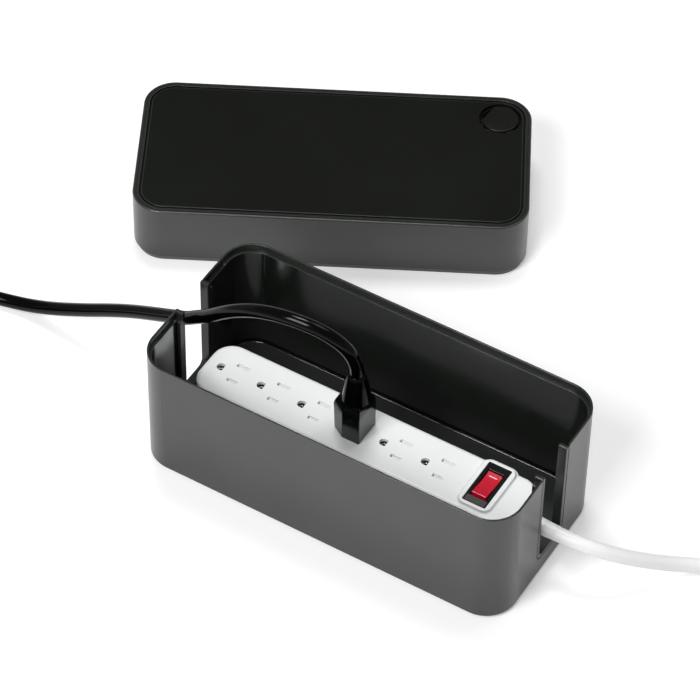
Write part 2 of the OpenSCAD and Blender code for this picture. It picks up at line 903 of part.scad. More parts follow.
module lead_plug_blades() {
    color([0.75, 0.65, 0.45])
    translate([plug_x, strip_y, strip_top_z - blade_l / 2]) {
        translate([0, blade_spacing / 2, 0])
            cube([blade_wide, blade_t, blade_l], center = true);
        translate([0, -blade_spacing / 2, 0])
            cube([blade_narrow, blade_t, blade_l], center = true);
    }
}

module lead_plug_earth_pin() {
    color([0.75, 0.65, 0.45])
    translate([plug_x - blade_to_earth, strip_y, strip_top_z - blade_l - earth_pin_extra])
        cylinder(r = earth_pin_r, h = blade_l + earth_pin_extra);
}

module lead_strain_relief() {
    color([0.05, 0.05, 0.05])
    translate([lead_route_inner[0][0], strip_y, plug_top_z])
        cylinder(r1 = lead_relief_r, r2 = lead_d / 2 + relief_end_lap, h = lead_relief_l);
}

module lead_run_inner() {
    color([0.04, 0.04, 0.04])
        tube(lead_route_inner, lead_d / 2, run_sides, [0, 1, 0]);
}

module lead_run_outer() {
    color([0.04, 0.04, 0.04])
        tube(lead_route_outer, lead_d / 2, run_sides, [0, 1, 0]);
}

module lead_coil() {
    color([0.04, 0.04, 0.04])
        tube(lead_coil_path, lead_d / 2, coil_sides, [0, 0, 1]);
}

module lead_connector() {
    face = far_relief_l + connector_l;
    color([0.05, 0.05, 0.05])
    at_coil_end(lead_coil_path, lead_end_angle)
        difference() {
            union() {
                far_relief(lead_d);
                block([far_relief_l, -connector_w / 2, -lead_end_z],
                      [face, connector_w / 2, lead_end_z - far_top_drop]);
            }
            for (y = [-1, 0, 1])
                translate([face, y * socket_pitch, y == 0 ? socket_rise : -socket_rise])
                    cube([2 * socket_depth, socket_t, 2 * socket_t], center = true);
        }
}

module lead_tie() {
    color([0.1, 0.1, 0.1])
        coil_tie(coil_centre(last(lead_route_outer), lead_coil_heading, lead_d, lead_coil_r),
                 lead_tie_angle, lead_coil_turns, lead_coil_r, lead_d);
}

base_shell();
left_slot_liner();
right_slot_liner();
floor_pad();
rubber_feet();
lid_shell();
lid_mat();
port_ring();
port_cover();
port_cover_screw();
strip_lower_shell();
strip_upper_shell();
strip_screws();
neutral_bus();
live_bus();
earth_bus();
switch_bezel();
switch_terminals();
switch_rocker();
strip_strain_relief();
strip_cord_run();
strip_cord_coil();
strip_cord_plug();
strip_cord_prongs();
strip_cord_tie();
lead_plug_body();
lead_plug_blades();
lead_plug_earth_pin();
lead_strain_relief();
lead_run_inner();
lead_run_outer();
lead_coil();
lead_connector();
lead_tie();
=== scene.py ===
# Cable box with its lid off, the power strip inside it and one plugged-in lead.
# Sizes are in millimetres in the settings and in metres on the meshes.
import math

import bmesh
import bpy
from mathutils import Matrix, Vector


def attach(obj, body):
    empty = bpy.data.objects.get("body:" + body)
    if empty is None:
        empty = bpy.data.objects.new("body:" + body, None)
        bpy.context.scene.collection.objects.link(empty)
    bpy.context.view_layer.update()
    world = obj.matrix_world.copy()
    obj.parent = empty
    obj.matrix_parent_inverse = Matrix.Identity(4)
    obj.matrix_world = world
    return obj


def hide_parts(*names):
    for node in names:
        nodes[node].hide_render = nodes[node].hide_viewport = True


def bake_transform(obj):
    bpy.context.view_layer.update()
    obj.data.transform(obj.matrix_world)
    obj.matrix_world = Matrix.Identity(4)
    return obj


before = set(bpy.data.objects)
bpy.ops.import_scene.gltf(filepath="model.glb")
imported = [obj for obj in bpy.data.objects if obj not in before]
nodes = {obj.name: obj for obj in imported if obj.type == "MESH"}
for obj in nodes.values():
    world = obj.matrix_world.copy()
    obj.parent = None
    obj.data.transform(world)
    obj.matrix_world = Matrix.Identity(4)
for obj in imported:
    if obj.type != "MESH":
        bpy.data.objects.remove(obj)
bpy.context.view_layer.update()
milli = 0.001
print("frame loaded:", len(nodes), "nodes")

camera = {
    "place": (676.611, -1181.927, 1605.810),
    "azimuth": 30.252,
    "elevation": 47.677,
    "roll": 1.191,
    "lens": 182.845,
    "sensor": 36.0,
    "clip": (0.05, 50),
}


def addObject(name, data):
    thing = bpy.data.objects.new(name, data)
    bpy.context.scene.collection.objects.link(thing)
    return thing


def moveBy(x, y, z):
    return Matrix.Translation(Vector((x, y, z)) * milli)


def turnBy(degrees, axis):
    return Matrix.Rotation(math.radians(degrees), 4, axis)


def makeCamera(c):
    az, el, roll = (math.radians(c[k]) for k in ("azimuth", "elevation", "roll"))
    back = Vector((math.sin(az) * math.cos(el), -math.cos(az) * math.cos(el), math.sin(el)))
    right = (-back).cross(Vector((0, 0, 1))).normalized()
    up = right.cross(-back)
    r = right * math.cos(roll) + up * math.sin(roll)
    u = up * math.cos(roll) - right * math.sin(roll)
    data = bpy.data.cameras.new("photoCamera")
    data.lens, data.sensor_width = c["lens"], c["sensor"]
    data.clip_start, data.clip_end = c["clip"]
    eye = addObject("photoCamera", data)
    eye.matrix_world = moveBy(*c["place"]) @ Matrix((r, u, back)).transposed().to_4x4()
    bpy.context.scene.camera = eye


makeCamera(camera)
print("camera placed")


# a shader or geometry socket whose maths is written as plain expressions
class Wire:
    def __init__(self, tree, socket=None):
        self.tree, self.socket = tree, socket

    def node(self, kind, settings=None, values=None, out=0):
        made = self.tree.nodes.new(kind)
        for name, value in (settings or {}).items():
            setattr(made, name, value)
        for name, value in (values or {}).items():
            if isinstance(value, Wire):
                self.tree.links.new(value.socket, made.inputs[name])
            else:
                made.inputs[name].default_value = value
        return Wire(self.tree, made.outputs[out] if made.outputs else None)

    def maths(self, operation, first, second):
        return self.node("ShaderNodeMath", {"operation": operation}, {0: first, 1: second})

    def __add__(self, other):
        return self.maths("ADD", self, other)

    def __radd__(self, other):
        return self.maths("ADD", other, self)

    def __sub__(self, other):
        return self.maths("SUBTRACT", self, other)

    def __rsub__(self, other):
        return self.maths("SUBTRACT", other, self)

    def __mul__(self, other):
        return self.maths("MULTIPLY", self, other)

    def __rmul__(self, other):
        return self.maths("MULTIPLY", other, self)

    def blend(self, low, high):
        return self.node("ShaderNodeMix", {"data_type": "RGBA"}, {0: self, 6: low, 7: high}, 2)

    def noise(self, scale, detail, rough):
        return self.node("ShaderNodeTexNoise", None,
                         {"Vector": self, "Scale": scale, "Detail": detail, "Roughness": rough})


def linear(rgb):
    return tuple((v / 255 / 12.92 if v <= 10 else ((v / 255 + 0.055) / 1.055) ** 2.4) for v in rgb) + (1.0,)


def newTree(name):
    material = bpy.data.materials.new(name)
    material.use_nodes = True
    material.node_tree.nodes.clear()
    return material, Wire(material.node_tree)


# moulded plastic, rubber or metal: soft cloudiness in the colour and the polish, and a fine grain
def makeFinish(name, low, high, rough, grainScale, cloudScale=14.0, roughSpread=0.08, roughGrain=0.1, bump=0.3,
               depth=0.00003, warp=0.0, warpScale=10.0, metal=0.0, ior=1.5, specular=0.5, coat=0.0,
               coatRough=0.1, sheen=0.0):
    material, wire = newTree(name)
    place = wire.node("ShaderNodeTexCoord", out="Object")
    cloud, grain = place.noise(cloudScale, 3.0, 0.55), place.noise(grainScale, 2.0, 0.5)
    share = cloud.node("ShaderNodeMapRange", None, {"Value": cloud, "From Min": 0.35, "From Max": 0.65})
    relief = {"Strength": bump, "Distance": depth, "Height": grain}
    if warp:
        sink = {"Strength": 1.0, "Distance": warp, "Height": place.noise(warpScale, 1.0, 0.4)}
        relief["Normal"] = wire.node("ShaderNodeBump", None, sink)
    shader = wire.node("ShaderNodeBsdfPrincipled", None,
                       {"Base Color": share.blend(linear(low), linear(high)),
                        "Roughness": rough + (cloud - 0.5) * roughSpread + (grain - 0.5) * roughGrain,
                        "Normal": wire.node("ShaderNodeBump", None, relief), "Metallic": metal, "IOR": ior,
                        "Specular IOR Level": specular, "Coat Weight": coat, "Coat Roughness": coatRough,
                        "Sheen Weight": sheen})
    wire.node("ShaderNodeOutputMaterial", None, {"Surface": shader})
    return material


# two shades that the colour drifts between, roughness, grain, and what else differs from the usual finish
finishes = {
    "boxOuter": ((51, 53, 51), (56, 58, 56), 0.24, 1700,
        dict(bump=0.06, roughGrain=0.04, roughSpread=0.05, specular=0.62)),
    # inside of the box and lid: the same plastic as the outside, its colour painted darker as shade
    "boxInner": ((16, 19, 16), (22, 25, 22), 0.17, 900,
        dict(bump=0.02, roughGrain=0.03, roughSpread=0.4, cloudScale=9.0, ior=1.95, coat=0.6, coatRough=0.12,
             warp=0.007, warpScale=10.0)),
    # the liners' own plastic; the same finish is painted on the lid's top border as shade and on the lid mat's edge as
    # a highlight
    "linerPlastic": ((34, 37, 34), (40, 43, 40), 0.22, 1500, dict(bump=0.12, specular=0.35)),
    "matSurface": ((16, 18, 14), (19, 21, 17), 0.45, 2200, dict(bump=0.25, specular=0.08)),
    "coverPlastic": ((14, 16, 12), (18, 20, 16), 0.25, 2000, dict(bump=0.1, specular=0.3)),
    "padRubber": ((36, 38, 37), (44, 46, 45), 0.6, 1400, dict(bump=0.5, specular=0.4)),
    "footRubber": ((16, 16, 16), (24, 24, 24), 0.75, 1600, dict(bump=0.5)),
    "stripPlastic": ((226, 228, 228), (232, 234, 233), 0.33, 1300, dict(bump=0.18)),
    "shutterPlastic": ((206, 208, 207), (214, 216, 215), 0.45, 1500, {}),
    "switchPlastic": ((10, 10, 10), (14, 14, 14), 0.25, 1500, dict(bump=0.12, specular=0.2)),
    "switchGrey": ((62, 60, 57), (70, 68, 65), 0.5, 1300, dict(bump=0.4, specular=0.25)),
    "rockerRed": ((190, 12, 40), (202, 20, 48), 0.22, 900, dict(bump=0.06, coat=0.3)),
    "markPaint": ((232, 196, 200), (240, 208, 210), 0.4, 1500, {}),
    "plugPlastic": ((6, 8, 7), (10, 12, 11), 0.13, 1200,
        dict(bump=0.04, roughGrain=0.04, roughSpread=0.06, specular=0.4)),
    "whiteSheath": ((238, 239, 238), (243, 244, 243), 0.38, 1100, dict(bump=0.15)),
    "blackSheath": ((2, 3, 2), (4, 5, 4), 0.11, 1000,
        dict(bump=0.03, roughGrain=0.03, roughSpread=0.03, specular=0.17)),
    "strapFabric": ((40, 40, 40), (54, 54, 54), 0.9, 2600, dict(bump=0.9, depth=0.0002, sheen=0.3, specular=0.2)),
    "whiteStrap": ((205, 206, 205), (222, 223, 222), 0.85, 2600,
        dict(bump=0.9, depth=0.0002, sheen=0.3, specular=0.2)),
    "brass": ((196, 160, 92), (210, 176, 108), 0.28, 1800, dict(metal=1.0)),
    "nickel": ((196, 192, 184), (210, 207, 200), 0.25, 1800, dict(metal=1.0)),
    "steel": ((160, 161, 163), (182, 183, 185), 0.3, 1800, dict(metal=1.0)),
}
made = {name: makeFinish(name, *row[:-1], **row[-1]) for name, row in finishes.items()}
print("finishes made:", len(made))


# a path with its corners rounded; each point is (x, y, radius)
def roundPath(points, closed=False, steps=5):
    out, count = [], len(points)
    for i, (x, y, r) in enumerate(points):
        here = Vector((x, y))
        if r <= 0 or (not closed and i in (0, count - 1)):
            out.append(here)
            continue
        a = (Vector(points[i - 1][:2]) - here).normalized()
        b = (Vector(points[(i + 1) % count][:2]) - here).normalized()
        half = a.angle(b) / 2
        middle = here + (a + b).normalized() * (r / math.sin(half))
        start, end = here + a * (r / math.tan(half)) - middle, here + b * (r / math.tan(half)) - middle
        sweep = start.angle(end)
        for k in range(steps + 1):
            t = k / steps
            out.append(middle + (start * math.sin((1 - t) * sweep) + end * math.sin(t * sweep)) / math.sin(sweep))
    return out


# a rectangle with round corners about (x, y), counter-clockwise
def roundRect(length, width, radius, steps=12, x=0, y=0):
    l, w = length / 2, width / 2
    r = min(radius, l - 0.01, w - 0.01)
    corners = [(l, -w, r), (l, w, r), (-l, w, r), (-l, -w, r)]
    return [p + Vector((x, y)) for p in roundPath(corners, True, steps)]


# an outline moved inwards by d, corner by corner
def insetOutline(outline, d):
    out, count = [], len(outline)
    for i, p in enumerate(outline):
        a = (p - outline[i - 1]).normalized()
        b = (outline[(i + 1) % count] - p).normalized()
        na, nb = Vector((-a.y, a.x)), Vector((-b.y, b.x))
        m = na + nb
        out.append(p + m * (2 * d / max(m.length_squared, 0.2)) if m.length > 1e-6 else p + na * d)
    return out


def upright(u, v, h):
    return Vector((u, v, h))


def alongX(u, v, h):
    return Vector((h, u, v))


def circle(count):
    return [2 * math.pi * k / count for k in range(count)]


# a rounded shoulder as (inset, height) points, from beside the wall at inset "at" up to the height "high"
def shoulder(at, reach, high, drop, steps=4, first=0):
    turn = [math.radians(90 * k / steps) for k in range(first, steps + 1)]
    return [(at + reach * (1 - math.cos(a)), high - drop * (1 - math.sin(a))) for a in turn]


def newPiece(name, vertices, faces, materials, indexes=None):
    mesh = bpy.data.meshes.new(name)
    mesh.from_pydata([tuple(c * milli for c in v) for v in vertices], [], faces)
    for m in materials:
        mesh.materials.append(made[m])
    if indexes:
        mesh.polygons.foreach_set("material_index", indexes)
    mesh.validate()
    return addObject(name, mesh)


# joins rings of equally many points; the rings run so that the faces point outwards
def skin(name, rings, materials, loop=False, materialAt=lambda i: 0):
    n, last = len(rings[0]), len(rings) - (0 if loop else 1)
    faces, indexes = [], []
    for i in range(last):
        j = (i + 1) % len(rings)
        faces += [(i * n + k, i * n + (k + 1) % n, j * n + (k + 1) % n, j * n + k) for k in range(n)]
        indexes += [materialAt(i)] * n
    if not loop:
        faces += [tuple(range(n - 1, -1, -1)), tuple(last * n + k for k in range(n))]
        indexes += [materialAt(0), materialAt(last)]
    return newPiece(name, [v for ring in rings for v in ring], faces, materials, indexes)


# sweeps a profile of (inset, height) points round a box, or a margin inside it
def sweepRect(name, profile, box, materials, steps, margin=0, materialAt=lambda i: 0):
    rings = []
    for inset, z in profile:
        d = inset + margin
        ring = roundRect(box["length"] - 2 * d, box["width"] - 2 * d, max(box["radius"] - d, 0.05), steps,
                         box.get("x", 0), box.get("y", 0))
        rings.append([Vector((p.x, p.y, z)) for p in ring])
    return skin(name, rings, materials, materialAt=materialAt)


# the first ring of a profile, past another ring, whose point passes a test
def firstRing(profile, test, after=-1):
    return next(i for i, p in enumerate(profile) if i > after and test(p))


# heights and insets of a block with both of its end edges rounded
def edgeProfile(low, high, edge, steps):
    return [(inset, low + high - z) for inset, z in reversed(shoulder(0, edge, high, edge, steps))] + (
        shoulder(0, edge, high, edge, steps))


# an outline given height along one axis; toPoint turns (u, v, height) into a place
def prism(name, outline, low, high, edge, materials, steps=4, toPoint=upright):
    rings = [[toPoint(p.x, p.y, h) for p in insetOutline(outline, inset)]
             for inset, h in edgeProfile(low, high, edge, steps)]
    return outward(skin(name, rings, materials))


# a sharp-edged solid that is cut away from a piece
def cutter(outline, low, high, toPoint=upright):
    return prism("cutter", outline, low, high, 0.01, ["boxInner"], 1, toPoint)


# a profile of (radius, height) points turned round a place; shape scales the radius by the angle
def lathe(name, profile, place, materials, sides=64, shape=lambda a: 1, loop=False):
    x, y, base = place
    rings = [[Vector((x + r * shape(a) * math.cos(a), y + r * shape(a) * math.sin(a), base + z))
              for a in circle(sides)] for r, z in profile]
    return outward(skin(name, rings, materials, loop=loop))


def outward(piece):
    shape = bmesh.new()
    shape.from_mesh(piece.data)
    bmesh.ops.remove_doubles(shape, verts=shape.verts, dist=1e-7)
    bmesh.ops.recalc_face_normals(shape, faces=shape.faces)
    shape.to_mesh(piece.data)
    shape.free()
    return piece


def bake(piece):
    bpy.context.view_layer.update()
    graph = bpy.context.evaluated_depsgraph_get()
    mesh = bpy.data.meshes.new_from_object(piece.evaluated_get(graph), depsgraph=graph)
    old = piece.data
    piece.modifiers.clear()
    piece.data = mesh
    mesh.name = piece.name
    if old.users == 0:
        bpy.data.meshes.remove(old)
    return piece


def carve(piece, *tools, operation="DIFFERENCE"):
    for tool in tools:
        cut = piece.modifiers.new("carve", "BOOLEAN")
        cut.operation, cut.object, cut.solver = operation, tool, "EXACT"
        bake(piece)
        bpy.data.objects.remove(tool)
    return piece


# smooth shading that keeps broad faces flat
def smooth(piece, angle=38.0):
    piece.data.shade_smooth()
    piece.data.set_sharp_from_angle(angle=math.radians(angle))
    weigh = piece.modifiers.new("weigh", "WEIGHTED_NORMAL")
    weigh.keep_sharp = True
    return bake(piece)


def merge(name, *pieces):
    target = pieces[0]
    slots = [m.name for m in target.data.materials]
    shape = bmesh.new()
    shape.from_mesh(target.data)
    for piece in pieces[1:]:
        moved = []
        for m in piece.data.materials:
            if m.name not in slots:
                slots.append(m.name)
                target.data.materials.append(m)
            moved.append(slots.index(m.name))
        before = len(shape.faces)
        shape.from_mesh(piece.data)
        shape.faces.ensure_lookup_table()
        for face in shape.faces[before:]:
            face.material_index = moved[face.material_index]
        bpy.data.objects.remove(piece)
    shape.to_mesh(target.data)
    shape.free()
    target.name = target.data.name = name
    return target


def place(piece, matrix):
    piece.data.transform(matrix)
    return piece


def standFor(piece, body, slot, *cadNodes):
    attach(piece, body)
    if cadNodes:
        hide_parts(*cadNodes)


# copies a source object onto the points of a line or a two by two grid
def repeatPiece(name, source, material, spots):
    tree = bpy.data.node_groups.new(name, "GeometryNodeTree")
    face = tree.interface
    kinds = {"Source": "NodeSocketObject", "Columns": "NodeSocketInt", "Rows": "NodeSocketInt",
             "Span X": "NodeSocketFloat", "Span Y": "NodeSocketFloat", "Centre": "NodeSocketVector",
             "Left out": "NodeSocketInt"}
    sockets = {k: face.new_socket(k, in_out="INPUT", socket_type=v) for k, v in kinds.items()}
    face.new_socket("Geometry", in_out="OUTPUT", socket_type="NodeSocketGeometry")
    wire = Wire(tree)
    entry = tree.nodes.new("NodeGroupInput")
    given = {s.name: Wire(tree, s) for s in entry.outputs if s.name in kinds}
    grid = wire.node("GeometryNodeMeshGrid", None,
                     {"Size X": given["Span X"], "Size Y": given["Span Y"],
                      "Vertices X": given["Columns"], "Vertices Y": given["Rows"]})
    moved = wire.node("GeometryNodeTransform", None, {"Geometry": grid, "Translation": given["Centre"]})
    index = wire.node("GeometryNodeInputIndex")
    kept = wire.node("FunctionNodeCompare", {"data_type": "INT", "operation": "NOT_EQUAL"},
                     {2: index, 3: given["Left out"]})
    info = wire.node("GeometryNodeObjectInfo", None, {"Object": given["Source"]}, "Geometry")
    put = wire.node("GeometryNodeInstanceOnPoints", None,
                    {"Points": moved, "Selection": kept, "Instance": info})
    real = wire.node("GeometryNodeRealizeInstances", None, {"Geometry": put})
    coated = wire.node("GeometryNodeSetMaterial", None, {"Geometry": real, "Material": made[material]})
    wire.node("NodeGroupOutput", None, {"Geometry": coated})
    piece = newPiece(name, [(0, 0, 0)], [], [material])
    work = piece.modifiers.new("repeat", "NODES")
    work.node_group = tree
    values = {"Source": source, "Span Y": 0.0, "Centre": (0, 0, 0), "Left out": -1, **spots}
    for k, socket in sockets.items():
        work[socket.identifier] = values[k]
    bake(piece)
    bpy.data.objects.remove(source)
    bpy.data.node_groups.remove(tree)
    return piece


# cords, made first; a route is a line of points, and a coil goes on from its end
cords = {
    "white": {
        "diameter": 9.0,
        "route": [(130, -4.8, 34.5), (133, -4.8, 34.5), (137, -4.65, 34.35), (140.9, -4.15, 33.95),
                  (144.8, -3.35, 33.3), (149.4, -1.9, 32.1), (153.8, 0, 30.6), (159.2, 2.9, 28.2),
                  (166.8, 8.2, 24.1), (176, 15.8, 18.7), (186, 24.9, 13.2), (196, 33.1, 9.5),
                  (207, 40.8, 7.1), (218, 47.9, 6), (230, 55.5, 5.6), (241.6, 62.8, 5.5), (252, 68.8, 5.5)],
        "heading": 30, "coilRadius": 55, "turns": 1.125, "tieAngle": 160,
    },
    "blackInner": {
        "diameter": 8.5,
        "route": [(-4.8, -4.8, 92), (-4.8, -4.8, 94), (-5.15, -4.9, 97.5), (-5.95, -5.2, 101), (-7.6, -5.7, 105.6),
                  (-9.9, -6.6, 110), (-13.2, -7.9, 114.4), (-17.6, -9.4, 118.3), (-23.6, -11, 121.7),
                  (-31, -12.6, 124.1), (-40, -14, 125.1), (-50, -14.8, 124.3), (-60, -14.8, 121.6),
                  (-70, -14.2, 116.9), (-80, -13.2, 110.4), (-89, -12.2, 103.2), (-97, -11.2, 95.7),
                  (-104, -10.2, 89.05), (-112, -8.6, 82.3)],
    },
    "blackOuter": {
        "diameter": 8.5,
        "route": [(-112, -8.6, 82.3), (-120, -7, 75.55), (-129, -4.9, 69.6), (-139, -2.8, 63.3), (-150, -0.8, 56.8),
                  (-161, 1, 50.3), (-173, 2.4, 43.2), (-185, 3.3, 36), (-198, 3.9, 28.2), (-210, 4.3, 21.4),
                  (-221, 4.5, 15.6), (-232, 4.4, 10.6), (-244, 3.6, 6.8), (-257, 1.8, 4.8), (-272, -1.2, 4.5),
                  (-289, -3.9, 5.2), (-301, -4.2, 5.25), (-311, -4.2, 5.25)],
        "heading": 180, "coilRadius": 58, "turns": 2.25, "tieAngle": 0,
    },
    "coilGap": 0.6, "ringsPerTurn": 48, "sides": 20, "between": 4,
}


def smoothRoute(route, between):
    p = [Vector(v) for v in route]
    p = [p[0] * 2 - p[1]] + p + [p[-1] * 2 - p[-2]]
    out = []
    for i in range(1, len(p) - 2):
        a, b, c, d = p[i - 1:i + 3]
        for k in range(between):
            t = k / between
            out.append(0.5 * (2 * b + (c - a) * t + (2 * a - 5 * b + 4 * c - d) * t * t
                              + (3 * b - a - 3 * c + d) * t * t * t))
    return out + [p[-2]]


def turned(degrees):
    return Vector((math.cos(math.radians(degrees)), math.sin(math.radians(degrees)), 0))


def coilCentre(cord):
    start = Vector(cord["route"][-1])
    return start + turned(cord["heading"]) * cord["diameter"] + turned(cord["heading"] + 90) * cord["coilRadius"]


def coilHeights(cord):
    step = cord["diameter"] + cords["coilGap"]
    return cord["route"][-1][2], step


def coilPath(cord):
    centre, (z0, step), turns = coilCentre(cord), coilHeights(cord), cord["turns"]
    out, count = [], round(2 * turns * cords["ringsPerTurn"])
    for i in range(count + 1):
        t = i / cords["ringsPerTurn"]
        r = cord["coilRadius"] - step * (t if t < turns else 2 * turns - t)
        s = min(1.0, max(0.0, 2 * (t - turns) + 0.5))
        p = centre + turned(cord["heading"] - 90 + 360 * t) * r
        out.append(Vector((p.x, p.y, z0 + step * s * s * (3 - 2 * s))))
    return out + [out[-1] + turned(endHeading(cord)) * cord["diameter"]]


def endHeading(cord):
    return cord["heading"] + 720 * cord["turns"]


def tube(name, path, radius, material, sides):
    rings, side = [], None
    for i, p in enumerate(path):
        ahead = (path[min(i + 1, len(path) - 1)] - path[max(i - 1, 0)]).normalized()
        side = ahead.orthogonal() if side is None else side - ahead * side.dot(ahead)
        side.normalize()
        other = ahead.cross(side)
        rings.append([p + (side * math.cos(a) + other * math.sin(a)) * radius for a in circle(sides)])
    return smooth(outward(skin(name, rings, [material])))


def pathLength(path):
    return sum((b - a).length for a, b in zip(path, path[1:]))


def makeCord(name, cord, material):
    path = smoothRoute(cord["route"], cords["between"])
    if "turns" in cord:
        path += coilPath(cord)
    piece = tube(name, path, cord["diameter"] / 2, material, cords["sides"])
    return piece, [tuple(p * milli) for p in path]


tieStrap = {"thick": 1.0, "width": 16.0, "slack": 0.3, "corner": 2.5, "topCorner": 4, "edge": 0.25}


# a strap bent into a closed band round one side of a coil
def makeBand(name, cord, material, s=tieStrap):
    d, thick, half = cord["diameter"], s["thick"], s["width"] / 2
    reach = d / 2 + s["slack"] + thick
    inner = cord["coilRadius"] - cord["turns"] * coilHeights(cord)[1] - reach
    outer, top = cord["coilRadius"] + reach, 2 * thick + 2 * d + cords["coilGap"] + s["slack"]
    loop = roundPath([(outer, 0, s["corner"]), (outer, top, s["topCorner"]),
                      (inner, top, s["topCorner"]), (inner, 0, s["corner"])], True, 5)
    rings = [[Vector((u.x, w, u.y)) for u, w in ((p, -half), (p, half), (q, half), (q, -half))]
             for p, q in zip(loop, insetOutline(loop, thick))]
    band = skin(name, rings, [material], loop=True)
    soften = band.modifiers.new("soften", "BEVEL")
    soften.width, soften.segments, soften.angle_limit = s["edge"] * milli, 2, math.radians(50)
    centre = coilCentre(cord)
    spot = moveBy(centre.x, centre.y, 0) @ turnBy(cord["tieAngle"], "Z")
    return smooth(outward(place(bake(band), spot)))


farEnds = {
    "white": {"relief": 32, "reliefStep": 2.5, "length": 30, "width": 27, "drop": 2, "edge": 3},
    "black": {"relief": 32, "reliefStep": 2.5, "length": 34, "width": 20, "drop": 2, "edge": 2.5,
              "socketPitch": 5, "socketRise": 2.5, "socketThick": 2, "socketTall": 4, "socketDepth": 12},
    "ribs": 6, "ribDip": 0.5, "neckGap": 0.3, "corner": 4,
}


# a moulded body with a tapered, ribbed neck, drawn along +X from the end of the coil
def makeFarBody(name, cord, size, material):
    last, ribs = coilPath(cord)[-1], farEnds["ribs"]
    low, high = -last.z, last.z - size["drop"]
    face = size["relief"] + size["length"]
    outline = roundRect(size["width"], high - low, farEnds["corner"], 5, 0, (low + high) / 2)
    body = prism(name, outline, size["relief"], face, size["edge"], [material], toPoint=alongX)
    r0, r1 = cord["diameter"] / 2 + farEnds["neckGap"], cord["diameter"] / 2 + size["reliefStep"]
    neck = [(r0, 0.0)]
    for k in range(ribs):
        a, b = (k + 0.25) / ribs, (k + 0.75) / ribs
        for t, dip in ((a, 0.0), (a + 0.01, farEnds["ribDip"]), (b - 0.01, farEnds["ribDip"]), (b, 0.0)):
            neck.append((r0 + (r1 - r0) * t - dip, size["relief"] * t))
    neck.append((r1, size["relief"] + size["edge"]))
    relief = lathe(name + "Neck", neck, (0, 0, 0), [material], 40)
    carve(body, place(relief, turnBy(90, "Y")), operation="UNION")
    if "socketPitch" in size:
        for k in (-1, 0, 1):
            hole = roundRect(size["socketThick"], size["socketTall"], 0.4, 2,
                             k * size["socketPitch"], size["socketRise"] * (1 if k == 0 else -1))
            carve(body, prism("socket", hole, face - size["socketDepth"], face + 2, 0.1, [material],
                              toPoint=alongX))
    return smooth(place(body, moveBy(*last) @ turnBy(endHeading(cord), "Z")))


whiteCord, whitePath = makeCord("mains_cord", cords["white"], "whiteSheath")
mainsPlug = makeFarBody("mains_plug", cords["white"], farEnds["white"], "whiteSheath")
mainsBand = makeBand("mains_cord_band", cords["white"], "whiteStrap")
leadInner, innerPath = makeCord("lead_from_plug", cords["blackInner"], "blackSheath")
leadOuter, outerPath = makeCord("lead_to_coil", cords["blackOuter"], "blackSheath")
leadEnd = makeFarBody("lead_socket_end", cords["blackOuter"], farEnds["black"], "plugPlastic")
leadBand = makeBand("lead_band", cords["blackOuter"], "strapFabric")
for label, path in (("mains cord", whitePath), ("lead inner", innerPath), ("lead outer", outerPath)):
    print(label, "length", round(pathLength([Vector(p) for p in path]), 4))

# base: a deep tray with a slot and its liner in each end
base = {
    "length": 246, "width": 117, "radius": 20, "height": 87.5, "footHeight": 1, "wall": 3, "floorTop": 4,
    "rimThick": 1.4, "rimDepth": 4.8, "bottomEdge": 2.2, "rimEdge": 0.5, "innerEdge": 0.6, "capInset": 8,
    "slotWidth": 24.5, "sill": 17, "slotRadius": 4, "linerFace": 3.25, "flangeThick": 2.4, "lap": 2.2,
    "seam": 0.15, "linerInset": 0.25, "linerEdge": 0.45, "postTop": 0.9,
    "groove": 0.85, "grooveDepth": 1.8, "grooveMargin": 4,
    "padGap": 1.5, "padThick": 1.5, "padEdge": 0.5, "footRadius": 6, "footPocket": 1.4, "footInset": 26,
}


def slotOutline(width, sill, top, radius):
    w = width / 2
    return roundPath([(-w, top, 0), (-w, sill, radius), (w, sill, radius), (w, top, 0)], True, 8)


def makeBase(b):
    ledge, foot, cap = b["height"] - b["rimDepth"], b["footHeight"], b["capInset"]
    profile = roundPath([
        (cap, foot, 0), (0, foot, b["bottomEdge"]), (0, b["height"], b["rimEdge"]),
        (b["rimThick"], b["height"], b["rimEdge"]), (b["rimThick"], ledge, 0.15), (b["wall"], ledge, 0.4),
        (b["wall"], b["floorTop"], b["innerEdge"]), (cap, b["floorTop"], 0)])
    rimRing = firstRing(profile, lambda p: p.y > b["height"] - 0.15)
    wallRing = firstRing(profile, lambda p: p.x > b["wall"] - 0.05, rimRing)
    # the inside walls and floor take the darker copy of the box plastic, painted shade; the rim top, its inner face and
    # the ledge take the liner's finish
    body = sweepRect("base_body", profile, b, ["boxOuter", "boxInner", "linerPlastic"], 16,
                     materialAt=lambda i: 1 if i >= wallRing else (2 if i >= rimRing else 0))
    slot = slotOutline(b["slotWidth"] + 2 * (b["linerFace"] + b["seam"]), b["sill"] - b["linerFace"],
                       b["height"] + 3, b["slotRadius"] + b["linerFace"])
    post = (b["width"] - 2 * b["radius"] - b["slotWidth"] - 2 * b["linerFace"]) / 2
    slit = (b["groove"], post - b["grooveMargin"], 0.25, 2)
    slitX, slitY = b["length"] / 2 - (b["wall"] + b["rimThick"]) / 2, b["width"] / 2 - b["radius"] - post / 2
    tools = []
    for side in (-1, 1):
        end = side * b["length"] / 2
        tools.append(cutter(slot, end - 10, end + 10, alongX))
        tools += [cutter(roundRect(*slit, side * slitX, y * slitY), ledge - b["grooveDepth"], ledge + 1)
                  for y in (-1, 1)]
    return smooth(carve(body, *tools))


